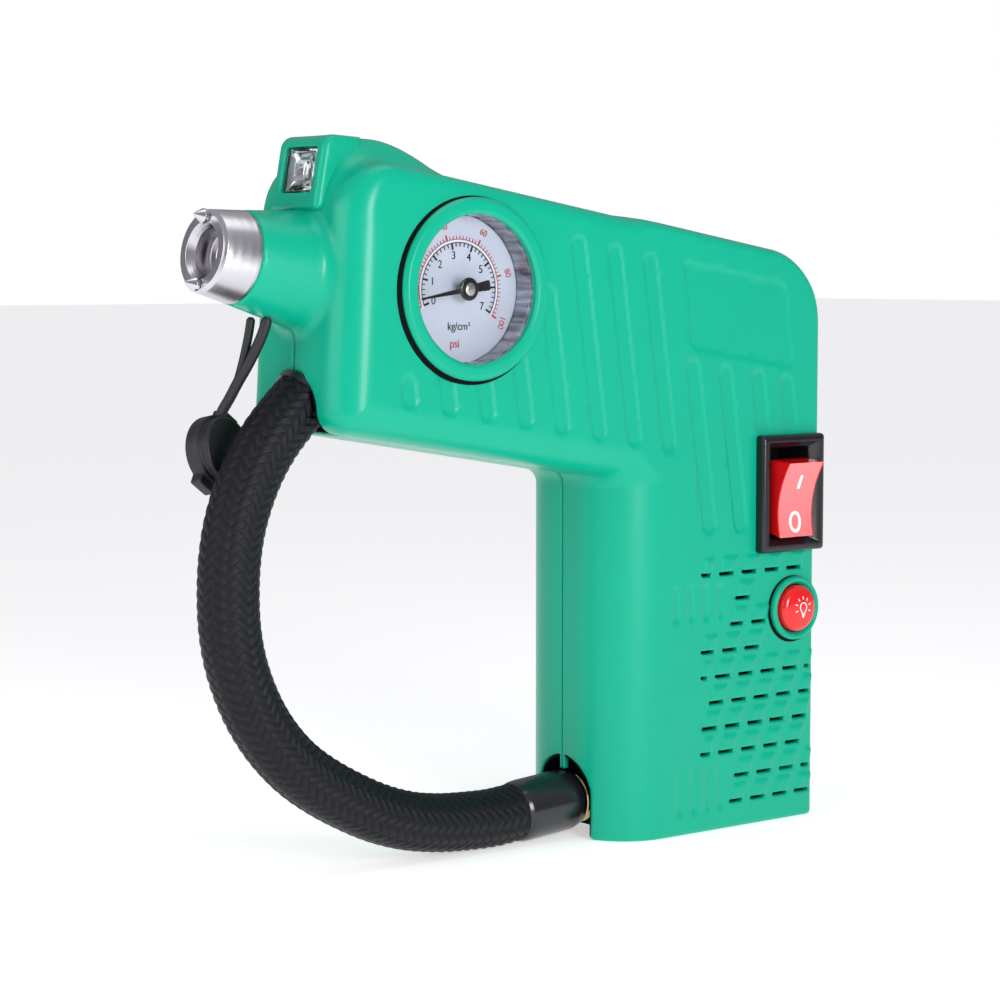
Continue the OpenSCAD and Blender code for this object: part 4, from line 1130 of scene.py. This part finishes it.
ROCKER_FACE = [(-9.3, 10), (-8.35, 7.3), (-7.55, 4.2), (-7.15, 1.4), (-7.1, -1.4), (-7.4, -4.2),
               (-8.1, -7.2), (-9.1, -10)]
ROCKER_BACK = [(-3, -9.6), (3.4, -5), (4.4, 0), (3.4, 5), (-3, 9.6)]
REST_TIP = math.radians(10)


def rocker_point(x, out, up):
    """out is along +Y from the pivot and up is along Z, before the rest tip."""
    c, s = math.cos(REST_TIP), math.sin(REST_TIP)
    return (SWITCH[0] + x, PIVOT_Y + out * c - up * s, SWITCH[1] + out * s + up * c)


def face_out(up):
    ups = [p[1] for p in ROCKER_FACE][::-1]
    outs = [p[0] for p in ROCKER_FACE][::-1]
    return float(np.interp(up, ups, outs))


def make_rocker(mats):
    """The rocker: red sides, a lighter front face, and a bar and a ring moulded on it."""
    half, edge = 6.3, 0.35
    fine = [(face_out(u), u) for u in np.linspace(10, -10, 25)]
    outline = fine + ROCKER_BACK
    n = len(outline)
    centre = np.mean(outline, axis=0)
    rows = [(-half, 0.94), (-half + edge * 0.3, 0.985), (-half + edge, 1.0),
            (half - edge, 1.0), (half - edge * 0.3, 0.985), (half, 0.94)]
    points, faces = [], []
    for x, k in rows:
        points += [rocker_point(x, *(centre + (np.array(p) - centre) * k)) for p in outline]
    for i in range(len(rows) - 1):
        for k in range(n):
            m = (k + 1) % n
            faces.append([i * n + k, i * n + m, (i + 1) * n + m, (i + 1) * n + k])
    faces.append(list(range(n)))
    faces.append(list(range((len(rows) - 1) * n, len(rows) * n))[::-1])
    rocker = new_object("rocker_key", points, fix_winding(points, faces), [mats["red"], mats["salmon"]])
    mid = 2 * n
    for p in rocker.data.polygons:
        v = sorted(p.vertices)
        if len(v) == 4 and v[0] >= mid and v[0] < mid + len(fine) - 1 and v[-1] < mid + n + len(fine):
            p.material_index = 1
    sharpen(rocker, 30)
    marks = []
    lift = 0.14

    def on_face(x, up, out):
        return rocker_point(x, face_out(up) - out, up)

    def ribbon(path, width, closed):
        """A flat raised line on the rocker's face through (x, up) points."""
        p = np.array(path, float)
        nxt, prv = np.roll(p, -1, 0), np.roll(p, 1, 0)
        if not closed:
            nxt[-1], prv[0] = p[-1], p[0]
        t = nxt - prv
        t /= np.linalg.norm(t, axis=1)[:, None]
        side = np.stack([-t[:, 1], t[:, 0]], axis=1) * width / 2
        pts, fcs, m = [], [], len(p)
        for q, s in zip(p, side):
            for sign, out in ((1, -0.2), (1, lift), (-1, lift), (-1, -0.2)):
                pts.append(on_face(*(q + sign * s), out))
        for i in range(m if closed else m - 1):
            j = (i + 1) % m
            for k in range(4):
                l = (k + 1) % 4
                fcs.append([i * 4 + k, i * 4 + l, j * 4 + l, j * 4 + k])
        if not closed:
            fcs += [[0, 1, 2, 3], [4 * m - 1, 4 * m - 2, 4 * m - 3, 4 * m - 4]]
        return pts, fix_winding(pts, fcs)

    ring = [(-0.1 + 1.75 * math.cos(TAU * k / 40), -6.2 + 2.35 * math.sin(TAU * k / 40)) for k in range(40)]
    for name, path, width, closed in (("rocker_on", [(0.0, 2.6), (0.0, 4.3), (0.0, 6.4)], 0.95, False),
                                      ("rocker_off", ring, 0.85, True)):
        pts, fcs = ribbon(path, width, closed)
        marks.append(new_object(name, pts, fcs, mats["white"], smooth=False))
    place(rocker, "rocker", "red_plastic", "switch_rocker")
    for m in marks:
        place(m, "rocker", "red_plastic")


# ---- lamp button -------------------------------------------------------------------------------
def dome(r):
    """Height of the button's top at a radius."""
    return 3.75 - 0.9 * (r / BUTTON_R) ** 2 - 0.9 * max(0, (r - 4.6) / 1.5) ** 2


def make_button(mats):
    collar = lathe_y("button_rim", BUTTON, [
        (6.4, -0.3, 0), (6.4, 0.5, 0.1), (7.1, 1.55, 0.4), (7.9, 1.75, 0.5), (8.4, 1.1, 0.4),
        (8.4, -0.1, 0),
    ], mats["green"], 128, 60)
    place(collar, "housing", "green_shell", "button_collar")
    # A black ring set off centre round the collar: painted shadow in the gap between the collar and the
    # side.
    painted_shadow_ring = lathe_y("button_painted_shadow", (BUTTON[0] - 0.35, BUTTON[1] - 0.2), [
        (8.0, -0.4, 0), (8.75, -0.4, 0), (8.85, 0.15, 0.1), (8.0, 0.3, 0),
    ], mats["painted_shade"], 128)
    place(painted_shadow_ring, "housing", "black_rubber")
    profile = [(0.0, 3.75, 0)] + [(r, dome(r), 0) for r in (1.5, 3, 4, 4.6, 5.1, 5.5, 5.8, 6.0)]
    profile += [(6.1, 1.6, 0), (6.1, -6.0, 0), (0.0, -6.0, 0)]
    key = lathe_y("lamp_button_key", BUTTON, profile, mats["red"], 96, 60)
    place(key, "lamp_key", "red_plastic", "light_button")
    stem = lathe_y("lamp_button_stem", BUTTON, [
        (0.0, -5.9, 0), (1.6, -5.9, 0), (1.6, -7.9, 0.2), (0.0, -8.0, 0),
    ], mats["red"], 32)
    place(stem, "lamp_key", "red_plastic")
    make_bulb_sign(mats)


def make_bulb_sign(mats):
    """A generic lamp sign on the button: an outline bulb, its cap and its rays."""
    lines = []
    bulb = [(1.15 * math.sin(math.radians(a)), 0.35 + 1.25 * math.cos(math.radians(a)))
            for a in range(-150, 151, 15)]
    lines.append((bulb + [(0.5, -1.25)], 0.3))
    lines.append(([(-0.5, -1.25)] + bulb[:1], 0.3))
    for k, z in enumerate((-1.35, -1.75, -2.15)):
        lines.append(([(-0.5 + 0.08 * k, z), (0.5 - 0.08 * k, z)], 0.34))
    for a in (-112, -72, -36, 0, 36, 72, 112):
        s, c = math.sin(math.radians(a)), math.cos(math.radians(a))
        lines.append(([(2.1 * s, 0.35 + 2.15 * c), (2.9 * s, 0.35 + 2.95 * c)], 0.3))
    points, faces = [], []
    for path, width in lines:
        p = np.array(path, float)
        t = np.gradient(p, axis=0)
        t /= np.linalg.norm(t, axis=1)[:, None]
        side = np.stack([-t[:, 1], t[:, 0]], axis=1) * width / 2
        base = len(points)
        for q, s in zip(p, side):
            for sign, lift in ((1, -0.1), (1, 0.06), (-1, 0.06), (-1, -0.1)):
                u = q + sign * s
                r = float(np.hypot(*u))
                points.append((BUTTON[0] + u[0] + 0.3, -HALF_W - dome(r) - lift, BUTTON[1] + u[1]))
        m = len(p)
        for i in range(m - 1):
            for k in range(4):
                l = (k + 1) % 4
                row = base + i * 4
                faces.append([row + k, row + l, row + 4 + l, row + 4 + k])
        faces += [[base, base + 3, base + 2, base + 1], [base + 4 * m - 4 + k for k in range(4)]]
    sign = new_object("lamp_sign", points, faces, mats["white"], smooth=False)
    place(sign, "lamp_key", "red_plastic")


# ---- stage and light ---------------------------------------------------------------------------
def make_stage():
    white = make_material("studio_floor", (0.93, 0.93, 0.93), 0.6, 0, 0.004, 20, 0.0)
    shader = white.node_tree.nodes["Principled BSDF"]
    shader.inputs["Specular IOR Level"].default_value = 0.1
    shader.inputs["Emission Color"].default_value = (1, 1, 1, 1)
    shader.inputs["Emission Strength"].default_value = 0.5
    points, faces = [], []
    size = 9000
    for x, y in ((-size, -size), (size, -size), (size, size), (-size, size)):
        points.append((x, y, 0))
    faces = [[0, 1, 2, 3]]
    floor = new_object("floor", points, faces, white, smooth=False)


def area_light(name, place_mm, target_mm, size_mm, power, colour=(1, 1, 1)):
    data = bpy.data.lights.new(name, "AREA")
    data.shape = "RECTANGLE"
    data.size, data.size_y = size_mm[0] * MM, size_mm[1] * MM
    data.energy = power
    data.color = colour
    lamp = bpy.data.objects.new(name, data)
    bpy.context.scene.collection.objects.link(lamp)
    at = Vector(place_mm) * MM
    lamp.location = at
    lamp.rotation_euler = (Vector(target_mm) * MM - at).to_track_quat("-Z", "Z").to_euler()
    return lamp


def make_world():
    """A pale room, brighter overhead, before a white backdrop."""
    world = bpy.data.worlds.new("studio")
    bpy.context.scene.world = world
    world.use_nodes = True
    nodes, links = world.node_tree.nodes, world.node_tree.links
    nodes.clear()
    out = nodes.new("ShaderNodeOutputWorld")
    backdrop = nodes.new("ShaderNodeBackground")
    backdrop.inputs["Color"].default_value = (1, 1, 1, 1)
    room = nodes.new("ShaderNodeBackground")
    coords = nodes.new("ShaderNodeTexCoord")
    split = nodes.new("ShaderNodeSeparateXYZ")
    ramp = nodes.new("ShaderNodeValToRGB")
    stops = ramp.color_ramp.elements
    stops[0].position, stops[0].color = 0.45, (0.12, 0.12, 0.13, 1)
    stops[1].position, stops[1].color = 0.90, (0.45, 0.45, 0.47, 1)
    lift = nodes.new("ShaderNodeMapRange")
    lift.inputs["From Min"].default_value = -1
    paths = nodes.new("ShaderNodeLightPath")
    mix = nodes.new("ShaderNodeMixShader")
    links.new(coords.outputs["Generated"], split.inputs["Vector"])
    links.new(split.outputs["Z"], lift.inputs["Value"])
    links.new(lift.outputs["Result"], ramp.inputs["Fac"])
    links.new(ramp.outputs["Color"], room.inputs["Color"])
    links.new(paths.outputs["Is Camera Ray"], mix.inputs["Fac"])
    links.new(room.outputs["Background"], mix.inputs[1])
    links.new(backdrop.outputs["Background"], mix.inputs[2])
    links.new(mix.outputs["Shader"], out.inputs["Surface"])


def make_lights():
    """A softbox before the gauge, a weaker one at the nose and one overhead."""
    make_world()
    area_light("gauge_softbox", (-150, -560, 215), (-110, 0, 150), (170, 240), 1.9)
    area_light("nose_softbox", (-620, 60, 260), (-60, 0, 90), (260, 420), 0.9)
    area_light("overhead", (-40, -60, 640), (-40, 0, 80), (420, 300), 0.5)


mats = make_materials()
hose, hose_length = make_hose(mats)
sleeve, nut = make_ferrule(mats)
finish_nodes(mats)
make_shells(mats)
make_pocket_linings(mats)
make_nose(mats)
make_cap(mats)
make_lamp(mats)
make_gauge(mats)
make_switch(mats)
make_button(mats)
make_stage()
make_lights()
bpy.context.scene.view_settings.view_transform = "Standard"
